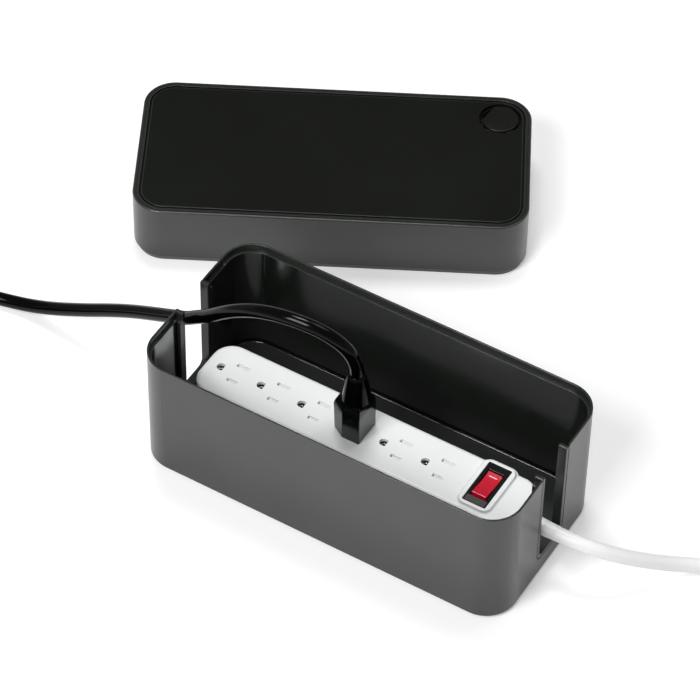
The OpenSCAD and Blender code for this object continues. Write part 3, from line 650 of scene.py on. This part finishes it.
def makeLiner(name, side, b):
    x0 = b["length"] / 2 - b["wall"] - b["seam"] - b["flangeThick"]
    shown, w = b["linerFace"] - b["linerInset"], b["slotWidth"] / 2

    def strap(label, reach, top, postTop, far):
        low = b["sill"] - reach
        outline = roundPath([
            (-w - reach, top, postTop), (-w - reach, low, b["slotRadius"] + reach),
            (w + reach, low, b["slotRadius"] + reach), (w + reach, top, postTop), (w, top, postTop),
            (w, b["sill"], b["slotRadius"]), (-w, b["sill"], b["slotRadius"]), (-w, top, postTop)], True, 6)
        return prism(label, outline, x0, far, b["linerEdge"], ["linerPlastic"],
                     toPoint=lambda u, v, h: Vector((side * h, u, v)))

    liner = strap(name, shown, b["height"], b["postTop"], b["length"] / 2)
    flange = strap("flange", b["linerFace"] + b["lap"], b["height"] - b["rimDepth"] - b["seam"], b["postTop"],
                   x0 + b["flangeThick"])
    return smooth(carve(liner, flange, operation="UNION"))


def makePad(b):
    low, edge = b["floorTop"], b["padEdge"]
    profile = [(0.4, low), (0, low + 0.4)] + shoulder(0, edge, low + b["padThick"], edge)
    return smooth(sweepRect("floor_mat", profile, b, ["padRubber"], 12, b["wall"] + b["padGap"]))


def makeFeet(b):
    r, top = b["footRadius"], b["footHeight"] + b["footPocket"]
    profile = [(r - 0.9, 0), (r - 0.4, 0.12), (r - 0.12, 0.4), (r, 0.9), (r, top)]
    middle, source = (lathe(name, profile, (0, 0, 0), ["footRubber"], 40) for name in ("foot", "footSource"))
    corners = repeatPiece("base_feet", source, "footRubber", {
        "Columns": 2, "Rows": 2, "Span X": (b["length"] - 2 * b["footInset"]) * milli,
        "Span Y": (b["width"] - 2 * b["footInset"]) * milli})
    return smooth(merge("base_feet", corners, middle))


baseBody = makeBase(base)
linerLeft, linerRight = makeLiner("slot_liner_left", -1, base), makeLiner("slot_liner_right", 1, base)
floorMat, baseFeet = makePad(base), makeFeet(base)
print("base made")

# lid: lies behind the base, turned a little, and stands on its lip
lid = {
    "x": -134.5, "clear": 23.2, "yaw": 28.1, "lip": 4, "height": 39.5, "top": 3, "lipInset": 1.8,
    "border": 4, "matGap": 1.1, "matThick": 1.4, "topEdge": 1.0, "borderEdge": 0.25, "matEdge": 0.3,
    "lineInset": 1.9, "lineWidth": 0.45, "lineDepth": 0.5, "bead": 0.7, "capInset": 9,
    "notch": 37.4, "portRadius": 14, "matHole": 13.3, "coverRadius": 11.5, "coverFlat": 9.0, "coverFlatAngle": 150,
    "coverThick": 2.2, "coverDome": 0.5, "coverEdge": 0.5, "coverDrop": 0.2, "stemRadius": 2.4, "stemLength": 5.6,
    "ringThick": 1, "ringDrop": 1.5, "ringGap": 0.15, "flange": 2.4, "flangeThick": 1.5, "hubWall": 2.2, "spoke": 5,
}


def lidPlace(b, d):
    yaw = math.radians(d["yaw"])
    y = (b["width"] / 2 + d["clear"] + b["radius"] + (b["length"] / 2 - b["radius"]) * math.sin(yaw)
         + (b["width"] / 2 - b["radius"]) * math.cos(yaw))
    return moveBy(d["x"], y, d["lip"]) @ turnBy(d["yaw"], "Z")


lidSpot = lidPlace(base, lid)
port = (base["length"] / 2 - base["radius"], base["width"] / 2 - base["radius"], 0)


# cuts a round hole with a rounded mouth at the port
def portHole(radius, low, high, flare):
    profile = [(radius, low)] + shoulder(radius, flare, high, flare) + [(radius + flare, high + 1)]
    return lathe("holeTool", profile, port, ["boxInner"], 96)


def makeLid(b, d):
    top, recess, under = d["height"], d["height"] - d["matThick"], d["height"] - d["top"]
    line, lineEnd, lineLow = d["lineInset"], d["lineInset"] + d["lineWidth"], d["height"] - d["lineDepth"]
    profile = roundPath([
        (d["capInset"], under, 0), (b["wall"], under, 1.5), (b["wall"], -d["lip"], 0.35),
        (d["lipInset"], -d["lip"], 0.35), (d["lipInset"], 0, 0.15), (0, 0, 0.5), (0, top, d["topEdge"]),
        (line, top, 0.12), (line, lineLow, 0.05), (lineEnd, lineLow, 0.05), (lineEnd, top, 0.12),
        (d["border"], top, d["borderEdge"]), (d["border"], recess, 0.1), (d["capInset"], recess, 0)])
    outer = firstRing(profile, lambda p: p.x < d["lipInset"] - 0.2)
    border = firstRing(profile, lambda p: p.y > top - 0.15, outer)
    floor = firstRing(profile, lambda p: p.x > d["border"] - 0.05, border)
    # the lid's underside takes the box plastic painted darker as shade; its top border takes the liner's finish,
    # painted shade on the upward face
    shell = sweepRect("lid_body", profile, b, ["boxOuter", "boxInner", "linerPlastic", "matSurface"], 16,
                      materialAt=lambda i: 3 if i >= floor else (2 if i >= border else (0 if i >= outer else 1)))
    notch = cutter(roundRect(2 * b["length"], d["notch"], 0.3, 1), -d["lip"] - 1, -0.001)
    return place(smooth(carve(shell, notch, portHole(d["portRadius"], 20, recess, 0.2))), lidSpot)


def makeLidMat(b, d):
    low, high = d["height"] - d["matThick"], d["height"]
    profile = [(0, low)] + shoulder(0, d["matEdge"], high, d["matEdge"])
    profile += [(d["bead"], high), (d["bead"] + 0.12, high - 0.1)]
    # the mat's rounded edge and a thin band along it take the liner's finish, lighter than the mat: a painted highlight
    # line
    mat = sweepRect("lid_mat_sheet", profile, b, ["matSurface", "linerPlastic"], 16, d["border"] + d["matGap"],
                    lambda i: 1 if 1 <= i <= 5 else 0)
    return place(smooth(carve(mat, portHole(d["matHole"], low - 5, high - 0.1, 0.35))), lidSpot)


def makePortRing(d):
    outer, flange = d["portRadius"] - d["ringGap"], d["portRadius"] + d["flange"]
    bore, under = outer - d["ringThick"], d["height"] - d["top"]
    top, hubTop = d["height"] - d["matThick"] - d["ringDrop"], d["height"] - d["coverThick"] - d["ringGap"]
    low, ledge, hub = hubTop - d["stemLength"], under - d["flangeThick"], d["stemRadius"] + d["hubWall"]
    profile = roundPath([
        (bore, low, 0.2), (outer, low, 0.2), (outer, ledge, 0.1), (flange, ledge, 0.3), (flange, under, 0.2),
        (outer, under, 0.1), (outer, top, 0.3), (bore, top, 0.3)], True, 3)
    ring = lathe("port_collar", profile, port, ["coverPlastic"], 96, loop=True)
    hub = lathe("hub", [(hub - 0.3, low), (hub, low + 0.3), (hub, hubTop - 0.3), (hub - 0.3, hubTop)], port,
                ["coverPlastic"])
    spoke = roundRect(2 * bore + 0.3, d["spoke"], 0.4, 2, *port[:2])
    carve(ring, hub, prism("spoke", spoke, low, low + d["stemLength"] / 2, 0.3, ["coverPlastic"], 2),
          operation="UNION")
    hole = d["stemRadius"] + 0.08
    return place(smooth(carve(ring, lathe("boreTool", [(hole, low - 2), (hole, hubTop + 2)], port,
                                          ["coverPlastic"]))), lidSpot)


def makePortCover(d):
    low, high = d["height"] - d["coverThick"], d["height"] - d["coverDrop"]
    flat = math.radians(d["coverFlatAngle"])

    def reach(a):
        gap = math.cos(a - flat)
        return min(1.0, d["coverFlat"] / d["coverRadius"] / gap) if gap > 0 else 1.0

    e, r, dome, stem = d["coverEdge"], d["coverRadius"], d["coverDome"], d["stemRadius"]
    profile = [(0.01, low), (r - 0.3, low), (r, low + 0.3), (r, d["height"] - e)]
    profile += shoulder(r, -e, high, e, 3, 1)
    profile += [((r - e) * s, high + dome * (1 - s * s)) for s in (0.85, 0.7, 0.5, 0.3, 0.12, 0.001)]
    disc = lathe("port_disc", profile, port, ["coverPlastic"], 128, reach)
    stemLow = low - d["ringGap"] - d["stemLength"]
    stem = lathe("stem", [(stem - 0.2, stemLow - 0.15), (stem, stemLow + 0.1), (stem, low + 0.5)], port,
                 ["coverPlastic"], 48)
    return place(smooth(carve(disc, stem, operation="UNION")), lidSpot)


lidBody, lidSheet = makeLid(base, lid), makeLidMat(base, lid)
portCollar, portDisc = makePortRing(lid), makePortCover(lid)
print("lid made")

# power strip: two shells, six outlets and the switch's raised pad
strip = {
    "length": 218, "width": 41, "height": 38.5, "radius": 13, "x": 1, "y": -4.8, "z": 5.5, "wall": 2.2,
    "caseHeight": 15, "topEdge": 2.6, "seamEdge": 0.35, "outlets": 6, "pitch": 28, "firstOutlet": 10,
    "bladeSpacing": 12.7, "bladeToEarth": 11.9, "slitLong": 8.6, "slitShort": 7, "slitThick": 2.3,
    "earthRadius": 2.55, "flare": 0.25, "shutterDrop": 0.8, "plugOutlet": 4, "capInset": 7, "screwHead": 2.8,
    "screwLeft": 1, "screwRight": 5, "screwInset": 4.4,
}
switch = {
    "x": 82, "y": -3, "length": 21.2, "width": 37, "radius": 5, "padHeight": 2, "padEdge": 0.9,
    "padFlare": 1.6, "bezelLength": 15, "bezelWidth": 32.4, "bezelThick": 1, "rockerLength": 9.4,
    "rockerWidth": 20.6, "tilt": 8, "axisDrop": 2.6, "wellGapX": 0.8, "wellGapY": 1.8, "bodyHeight": 11,
    "bodyWall": 0.9, "bodyGap": 0.3, "bezelGap": 0.4, "labelLength": 13.2, "labelWidth": 4.4, "markLength": 5.4,
    "markWidth": 0.65, "markBack": 3.6, "saddle": 2.4, "backRise": 1.4, "frontRise": 0.4, "backEnd": 3.8,
    "frontEnd": 2.8,
}


def earthOutline(radius):
    arc = [Vector((radius * math.cos(a), radius * math.sin(a)))
           for a in (math.radians(90 + 15 * k) for k in range(13))]
    flat = roundPath([(0.001, -radius, 0), (radius * 0.8, -radius, 0.5), (radius * 0.8, radius, 0.5),
                      (0.001, radius, 0)], False, 4)
    return arc + flat[1:-1]


# one outlet's three openings, as a solid that cuts them
def outletTool(s, top):
    low, high, lip = top - s["wall"] - 1.5, top + 1, s["flare"]
    shapes = [(earthOutline(s["earthRadius"]), 0, 0),
              (roundRect(s["slitLong"], s["slitThick"], 0.3, 2), s["bladeToEarth"], s["bladeSpacing"] / 2),
              (roundRect(s["slitShort"], s["slitThick"], 0.3, 2), s["bladeToEarth"], -s["bladeSpacing"] / 2)]
    parts = []
    for outline, x, y in shapes:
        rings = []
        for grow, z in ((0, low), (0, top - lip), (lip * 0.3, top - lip * 0.35), (lip, top), (lip, high)):
            rings.append([Vector((p.x + x, p.y + y, z)) for p in insetOutline(outline, -grow)])
        parts.append(outward(skin("outletTool", rings, ["stripPlastic"])))
    return merge("outletTool", *parts)


def outletSpots(s):
    span = (s["outlets"] - 1) * s["pitch"]
    first = s["x"] - s["length"] / 2 + s["firstOutlet"]
    return {"Columns": s["outlets"], "Rows": 1, "Span X": span * milli,
            "Centre": ((first + span / 2) * milli, s["y"] * milli, 0)}


# length and width of the rocker's opening, or of a rectangle that is larger by extra
def wellSize(w, extra=0):
    return w["rockerLength"] + w["wellGapX"] + extra, w["rockerWidth"] + w["wellGapY"] + extra


def makeStripTop(s, w):
    top, seam, cap = s["z"] + s["height"], s["z"] + s["caseHeight"], s["capInset"]
    profile = roundPath([
        (cap, top - s["wall"], 0), (s["wall"], top - s["wall"], 1.2), (s["wall"], seam, 0.3),
        (0, seam, s["seamEdge"]), (0, top, s["topEdge"]), (cap, top, 0)])
    shell = sweepRect("strip_top", profile, s, ["stripPlastic"], 14)
    e, f, h = w["padEdge"], w["padFlare"], w["padHeight"]
    pad = [(0, top - 1.2), (-f, top - 0.01)]
    pad += [(-f * (1 - math.sin(a)), top + f * 0.8 * (1 - math.cos(a))) for a in (math.radians(30 * k) for k in (1, 2))]
    pad += [(0, top + f * 0.8)] + shoulder(0, e, top + h, e * 0.8, 4, 1)
    carve(shell, outward(sweepRect("pad", pad, w, ["stripPlastic"], 8)), operation="UNION")
    spot, gap, extra = (w["x"], w["y"]), w["bezelGap"], 2 * w["bodyWall"] + w["bodyGap"]
    pocket = cutter(roundRect(w["bezelLength"] + gap, w["bezelWidth"] + gap, 0.9, 3, *spot),
                    top + h - w["bezelThick"], top + h + 3)
    well = cutter(roundRect(*wellSize(w, extra), 0.5, 2, *spot), top - s["wall"] - 2, top + h)
    outlets = repeatPiece("outletTools", outletTool(s, top), "stripPlastic", outletSpots(s))
    return smooth(carve(shell, pocket, well, outlets))


# pale shutters that close the empty slits just below the face
def makeShutters(s):
    top, half = s["z"] + s["height"] - s["shutterDrop"], s["slitThick"] / 2 + 0.3
    parts = []
    for length, side in ((s["slitLong"], 1), (s["slitShort"], -1)):
        y, reach = side * s["bladeSpacing"] / 2, length / 2
        outline = [Vector((s["bladeToEarth"] + x, z)) for x, z in
                   ((-reach - 0.3, top - 2.2), (reach + 0.3, top - 0.4), (reach + 0.3, top),
                    (-reach + 1.0, top - 0.1), (-reach + 0.7, top - 1.2))]
        parts.append(prism("shutter", outline, y - half, y + half, 0.1, ["shutterPlastic"], 1,
                           lambda u, v, h: Vector((u, h, v))))
    return smooth(repeatPiece("strip_shutters", merge("shutterSource", *parts), "shutterPlastic",
                              {**outletSpots(s), "Left out": s["plugOutlet"] - 1}))


# the rolled mouths of the earth contacts, a little below the face
def makeContacts(s):
    top = s["z"] + s["height"] - s["wall"] - 0.2
    mouth = roundPath([(1.35, top - 4, 0), (1.75, top - 4, 0), (1.75, top - 1.6, 0.3), (2.1, top - 1, 0.2),
                       (1.6, top - 0.9, 0.3), (1.35, top - 1.8, 0.2)], True, 3)
    source = lathe("contactSource", mouth, (0, 0, 0), ["nickel"], 32, loop=True)
    return smooth(repeatPiece("earth_mouths", source, "nickel", {**outletSpots(s), "Left out": s["plugOutlet"] - 1}))


def screwSpots(s):
    left = s["x"] - s["length"] / 2 + s["radius"] + s["screwLeft"]
    right = s["x"] + s["length"] / 2 - s["radius"] + s["screwRight"]
    rise = s["width"] / 2 - s["wall"] - s["screwInset"]
    return {"Columns": 2, "Rows": 2, "Span X": (right - left) * milli, "Span Y": 2 * rise * milli,
            "Centre": ((left + right) / 2 * milli, s["y"] * milli, 0)}


def makeStripCase(s):
    low, seam, cap = s["z"], s["z"] + s["caseHeight"], s["capInset"]
    profile = roundPath([
        (cap, low, 0), (0, low, 1.4), (0, seam, s["seamEdge"]), (s["wall"], seam, 0.3),
        (s["wall"], low + s["wall"], 1), (cap, low + s["wall"], 0)])
    case = sweepRect("strip_case", profile, s, ["stripPlastic"], 14)
    hole = s["screwHead"] + 0.15
    tool = lathe("recessTool", [(hole, low - 1), (hole, low + 1.8)], (0, 0, 0), ["stripPlastic"], 32)
    return smooth(carve(case, repeatPiece("recessTools", tool, "stripPlastic", screwSpots(s))))


def makeStripScrews(s):
    head, low = s["screwHead"], s["z"] + 1
    profile = [(head - 0.5, low), (head - 0.1, low + 0.35), (head, low + 0.8), (head, low + 1.6), (1.25, low + 1.7),
               (1.25, low + s["caseHeight"] + 3.2)]
    source = lathe("screw", profile, (0, 0, 0), ["steel"], 32)
    for angle in (0, 90):
        carve(source, place(cutter(roundRect(3.4, 0.7, 0.2, 1), low - 1, low + 1.0), turnBy(angle, "Z")))
    return smooth(repeatPiece("strip_fasteners", source, "steel", screwSpots(s)))


stripTop, stripShutters, earthMouths = makeStripTop(strip, switch), makeShutters(strip), makeContacts(strip)
print("strip top made")
stripCase, stripScrews = makeStripCase(strip), makeStripScrews(strip)
print("strip case made")


def makeBezel(s, w):
    top = s["z"] + s["height"] + w["padHeight"]
    low, deep, spot = top - w["bezelThick"], top - w["bezelThick"] - w["bodyHeight"], (w["x"], w["y"])
    plate = prism("switch_frame", roundRect(w["bezelLength"], w["bezelWidth"], 0.8, 3, *spot), low, top, 0.2,
                  ["switchPlastic", "switchGrey"], 2)
    body = roundRect(*wellSize(w, 2 * w["bodyWall"]), 0.5, 2, *spot)
    carve(plate, prism("switchBody", body, deep, low + 0.3, 0.3, ["switchPlastic"], 2), operation="UNION")
    well = roundRect(*wellSize(w), 0.4, 2, *spot)
    rings = [[Vector((p.x, p.y, z)) for p in insetOutline(well, -grow)]
             for grow, z in ((0, deep + w["bodyWall"]), (0, top - 0.25), (0.25, top), (0.25, top + 1))]
    return smooth(carve(plate, outward(skin("wellTool", rings, ["switchPlastic"]))))


def makeLabel(s, w):
    top = s["z"] + s["height"] + w["padHeight"]
    free = (w["bezelWidth"] - wellSize(w)[1]) / 2
    y = w["y"] - w["bezelWidth"] / 2 + free / 2 + 0.1
    outline = roundRect(w["labelLength"], w["labelWidth"], 0.4, 2, w["x"], y)
    return smooth(prism("switch_label", outline, top - 0.1, top + 0.12, 0.08, ["switchGrey"], 2))


# a red paddle with a hollow top, turned about its pin, and a pale raised bar across its back end
def makeRocker(s, w):
    end, half = w["rockerWidth"] / 2, w["rockerLength"] / 2
    axis = s["z"] + s["height"] + w["padHeight"] - w["axisDrop"]
    curve = [(end * t, w["saddle"] + w["backRise" if t > 0 else "frontRise"] * t * t, 0)
             for t in (0.8, 0.6, 0.4, 0.2, 0, -0.2, -0.4, -0.6, -0.8)]
    outline = roundPath([(-end, w["frontEnd"], 0.6), (-end, -1, 0.3), (-end + 4, -4, 0.5), (end - 4, -4, 0.5),
                         (end, -1, 0.3), (end, w["backEnd"], 0.7)] + curve, True, 4)
    paddle = prism("switch_paddle", outline, -half, half, 0.28, ["rockerRed", "markPaint"], 3, alongX)
    pin = lathe("pin", [(1.0, -5.2), (1.1, -5.1), (1.1, 5.1), (1.0, 5.2)], (0, 0, 0), ["rockerRed"], 32)
    place(pin, turnBy(90, "Y"))
    y = end - w["markBack"]
    mark = prism("mark", roundRect(w["markLength"], w["markWidth"], 0.3, 2), -0.3, 0.07, 0.05, ["markPaint"], 1)
    slope = math.degrees(math.atan(2 * w["backRise"] * y / end ** 2))
    place(mark, moveBy(0, y, w["saddle"] + w["backRise"] * (y / end) ** 2) @ turnBy(slope, "X"))
    merge("switch_paddle", smooth(paddle), smooth(pin), smooth(mark))
    return place(paddle, moveBy(w["x"], w["y"], axis) @ turnBy(-w["tilt"], "X"))


switchFrame, switchLabel = makeBezel(strip, switch), makeLabel(strip, switch)
switchPaddle = makeRocker(strip, switch)
print("switch made")

# the necks where the cords leave strip and plug; a bulge over 1 is hollow, under 1 full
reliefs = {
    "white": {"base": 6.2, "tip": 4.6, "length": 20, "steps": 3, "bulge": 2.2, "neck": 5, "neckLength": 2.35,
              "flange": 6.8, "flangeThick": 2},
    "black": {"base": 8.8, "tip": 4.75, "length": 20, "steps": 5, "bulge": 0.6},
}


def reliefProfile(r):
    shape = [(r["base"] - 0.3, 0), (r["base"], 0.3)]
    for k in range(r["steps"]):
        for t in (0.3, 0.38, 0.72, 0.8):
            share = 0.1 + 0.85 * (k + t) / r["steps"]
            shape.append((r["tip"] + (r["base"] - r["tip"]) * (1 - share) ** r["bulge"], r["length"] * share))
    return shape + [(r["tip"] + 0.02, r["length"] - 0.2), (r["tip"] - 0.2, r["length"])]


def makeCordRelief(s, r, z):
    low = -r["neckLength"]
    inner = [(r["flange"], low - r["flangeThick"]), (r["flange"], low), (r["neck"], low), (r["neck"], 0)]
    piece = lathe("cord_relief", inner + reliefProfile(r), (0, 0, 0), ["whiteSheath"], 48)
    return smooth(place(piece, moveBy(s["x"] + s["length"] / 2, s["y"], z) @ turnBy(90, "Y")))


cordRelief = makeCordRelief(strip, reliefs["white"], cords["white"]["route"][0][2])

# the plug of the lead, an angled body with a narrow nose
plug = {
    "back": 5, "flat": 6.5, "nose": 14.6, "noseFlare": 1.2, "noseWidth": 9.4, "width": 19.8, "height": 28,
    "corner": 0.9, "footEdge": 0.4,
    "shoulder": ((0.72, 1.0), (0.76, 0.985), (0.82, 0.95), (0.9, 0.88), (0.96, 0.82), (1.0, 0.74)),
    "nib": (2.6, 1.1, 0.35), "nibHeight": 0.62,
}


def plugRing(p, share, size, z, centre):
    half, nose, tip = p["width"] / 2, p["nose"] + p["noseFlare"] * share, p["noseWidth"] / 2
    outline = roundPath([(p["back"], -half, p["corner"]), (p["back"], half, p["corner"]),
                         (-p["flat"], half, p["corner"]), (-nose, tip, p["corner"]), (-nose, -tip, p["corner"]),
                         (-p["flat"], -half, p["corner"])], True, 4)
    return [Vector((q.x * size + centre[0], q.y * size + centre[1], z)) for q in outline]


def makePlug(p, s):
    centre = (s["x"] - s["length"] / 2 + s["firstOutlet"] + (s["plugOutlet"] - 1) * s["pitch"] + s["bladeToEarth"],
              s["y"])
    low, rise = s["z"] + s["height"], p["height"]
    rings = [plugRing(p, 0, 0.96, low, centre), plugRing(p, 0, 1, low + p["footEdge"], centre)]
    rings += [plugRing(p, t, 1, low + rise * t, centre) for t in (0.1, 0.3, 0.5, 0.66)]
    rings += [plugRing(p, t, size, low + rise * t, centre) for t, size in p["shoulder"]]
    body = smooth(outward(skin("plug_body", rings, ["plugPlastic"])), 24)
    (length, tall, out), side = p["nib"], centre[1] - p["width"] / 2
    nib = prism("nib", roundRect(length, tall, 0.4, 2), -out, out, 0.15, ["plugPlastic"], 2,
                lambda u, v, h: Vector((centre[0] - 1 + u, side - h, low + rise * p["nibHeight"] + v)))
    return merge("plug_body", body, smooth(nib))


plugBody = makePlug(plug, strip)
neckX, neckY, neckTop = cords["blackInner"]["route"][0]
plugRelief = smooth(lathe("plug_relief", reliefProfile(reliefs["black"]),
                          (neckX, neckY, neckTop - reliefs["black"]["length"]), ["blackSheath"], 48))
print("plug made")

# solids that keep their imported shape
for nodeName, finish in {
        "port_cover_screw": "steel", "neutral_bus": "brass", "live_bus": "brass", "earth_bus": "brass",
        "switch_terminals": "brass", "strip_cord_prongs": "nickel", "lead_plug_blades": "nickel",
        "lead_plug_earth_pin": "nickel"}.items():
    nodes[nodeName].data.materials.clear()
    nodes[nodeName].data.materials.append(made[finish])

# what moves with what, and which solids it stands for
for ride in (
        (baseBody, "base", "box_plastic", "base_shell"),
        (linerLeft, "base", "liner_plastic", "left_slot_liner"),
        (linerRight, "base", "liner_plastic", "right_slot_liner"),
        (floorMat, "base", "pad_rubber", "floor_pad"),
        (baseFeet, "base", "pad_rubber", "rubber_feet"),
        (lidBody, "lid", "box_plastic", "lid_shell"),
        (lidSheet, "lid", "mat_surface", "lid_mat"),
        (portCollar, "lid", "black_plastic", "port_ring"),
        (portDisc, "cover", "mat_surface", "port_cover"),
        (stripTop, "power_strip", "white_plastic", "strip_upper_shell"),
        (stripShutters, "power_strip", "white_plastic"),
        (earthMouths, "power_strip", "brass"),
        (stripCase, "power_strip", "white_plastic", "strip_lower_shell"),
        (stripScrews, "power_strip", "steel", "strip_screws"),
        (switchFrame, "power_strip", "black_plastic", "switch_bezel"),
        (switchLabel, "power_strip", "black_plastic"),
        (switchPaddle, "rocker", "red_plastic", "switch_rocker"),
        (cordRelief, "power_strip", "white_cord", "strip_strain_relief"),
        (plugBody, "lead_plug", "black_plastic", "lead_plug_body"),
        (plugRelief, "lead_plug", "black_plastic", "lead_strain_relief"),
        (mainsPlug, "base", "white_cord", "strip_cord_plug"),
        (mainsBand, "base", "white_cord", "strip_cord_tie"),
        (leadEnd, "base", "black_plastic", "lead_connector"),
        (leadBand, "base", "black_cord", "lead_tie")):
    standFor(*ride)


def crossing(piece, bodies, ends, slotName, *cadNodes):
    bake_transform(piece)
    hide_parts(*cadNodes)


onFloor = tuple(v * milli for v in (230, 55.5, 5.6))
leadOnFloor = tuple(v * milli for v in (-244, 3.6, 6.8))
crossing(whiteCord, ("power_strip", "base"), (whitePath[0], onFloor), "white_cord", "strip_cord_run", "strip_cord_coil")
crossing(leadInner, ("lead_plug", "power_strip"), (innerPath[0], innerPath[-1]), "black_cord", "lead_run_inner")
crossing(leadOuter, ("power_strip", "base"), (outerPath[0], leadOnFloor), "black_cord", "lead_run_outer", "lead_coil")

print("pieces ride on their bodies")

# floor, backdrop and light
studio = {
    "floorSize": 14.0, "wallRadius": 6.5, "wallHeight": 2.6, "wallSides": 48,
    "paper": (238, 238, 238), "seenGlow": 0.3, "mirrorGlow": 0.12,
    "world": 0.18,
    "lamps": {
        "overhead": {"place": (-0.4, 0.5, 1.9), "aim": (0, 0, 0), "size": 0.55, "watts": 13.0},
        "behind": {"place": (0.4, 0.95, 2.0), "aim": (0, 0.05, 0), "size": 0.9, "watts": 7.0},
        "key": {"place": (-0.3, -1.6, 1.75), "aim": (0, 0.05, 0.03), "size": 1.1, "watts": 45.0},
    },
}


def makePaper(look):
    material, wire = newTree("paper")
    place = wire.node("ShaderNodeTexCoord", out="Object")
    fibre = place.node("ShaderNodeTexNoise", None, {"Vector": place, "Scale": 3.0, "Detail": 2.0})
    shade = linear(look["paper"])
    colour = fibre.blend(shade, tuple(v * 0.99 for v in shade[:3]) + (1,))
    ray = wire.node("ShaderNodeLightPath")
    mirrored, through = (Wire(wire.tree, ray.socket.node.outputs[name])
                         for name in ("Is Glossy Ray", "Is Transmission Ray"))
    glow = ray * look["seenGlow"] + ray.maths("MAXIMUM", mirrored, through) * look["mirrorGlow"]
    shader = wire.node("ShaderNodeBsdfPrincipled", None,
                       {"Base Color": colour, "Roughness": 0.9, "Specular IOR Level": 0.0,
                        "Emission Color": (1, 1, 1, 1), "Emission Strength": glow})
    wire.node("ShaderNodeOutputMaterial", None, {"Surface": shader})
    return material


def makeStage(look):
    paper, half, sides = makePaper(look), look["floorSize"] / 2, look["wallSides"]
    wall = [(look["wallRadius"] * math.cos(a), look["wallRadius"] * math.sin(a)) for a in circle(sides)]
    sheets = {
        "floor": ([(-half, -half, 0), (half, -half, 0), (half, half, 0), (-half, half, 0)], [(0, 1, 2, 3)]),
        "backdrop": ([(x, y, z) for z in (0, look["wallHeight"]) for x, y in wall],
                     [((k + 1) % sides, k, sides + k, sides + (k + 1) % sides) for k in range(sides)]),
    }
    for name, (points, faces) in sheets.items():
        mesh = bpy.data.meshes.new(name)
        mesh.from_pydata(points, [], faces)
        mesh.materials.append(paper)
        piece = addObject(name, mesh)


def makeLamps(look):
    for name, lamp in look["lamps"].items():
        data = bpy.data.lights.new(name, "AREA")
        data.size, data.energy = lamp["size"], lamp["watts"]
        light = addObject(name, data)
        spot = Vector(lamp["place"])
        light.matrix_world = Matrix.Translation(spot) @ (
            (Vector(lamp["aim"]) - spot).to_track_quat("-Z", "Y").to_matrix().to_4x4())
    world = bpy.data.worlds.new("studio")
    bpy.context.scene.world = world
    world.use_nodes = True
    wash = world.node_tree.nodes["Background"]
    wash.inputs["Color"].default_value = (1, 1, 1, 1)
    wash.inputs["Strength"].default_value = look["world"]


makeStage(studio)
makeLamps(studio)
bpy.context.scene.view_settings.view_transform = "Standard"
print("studio made")
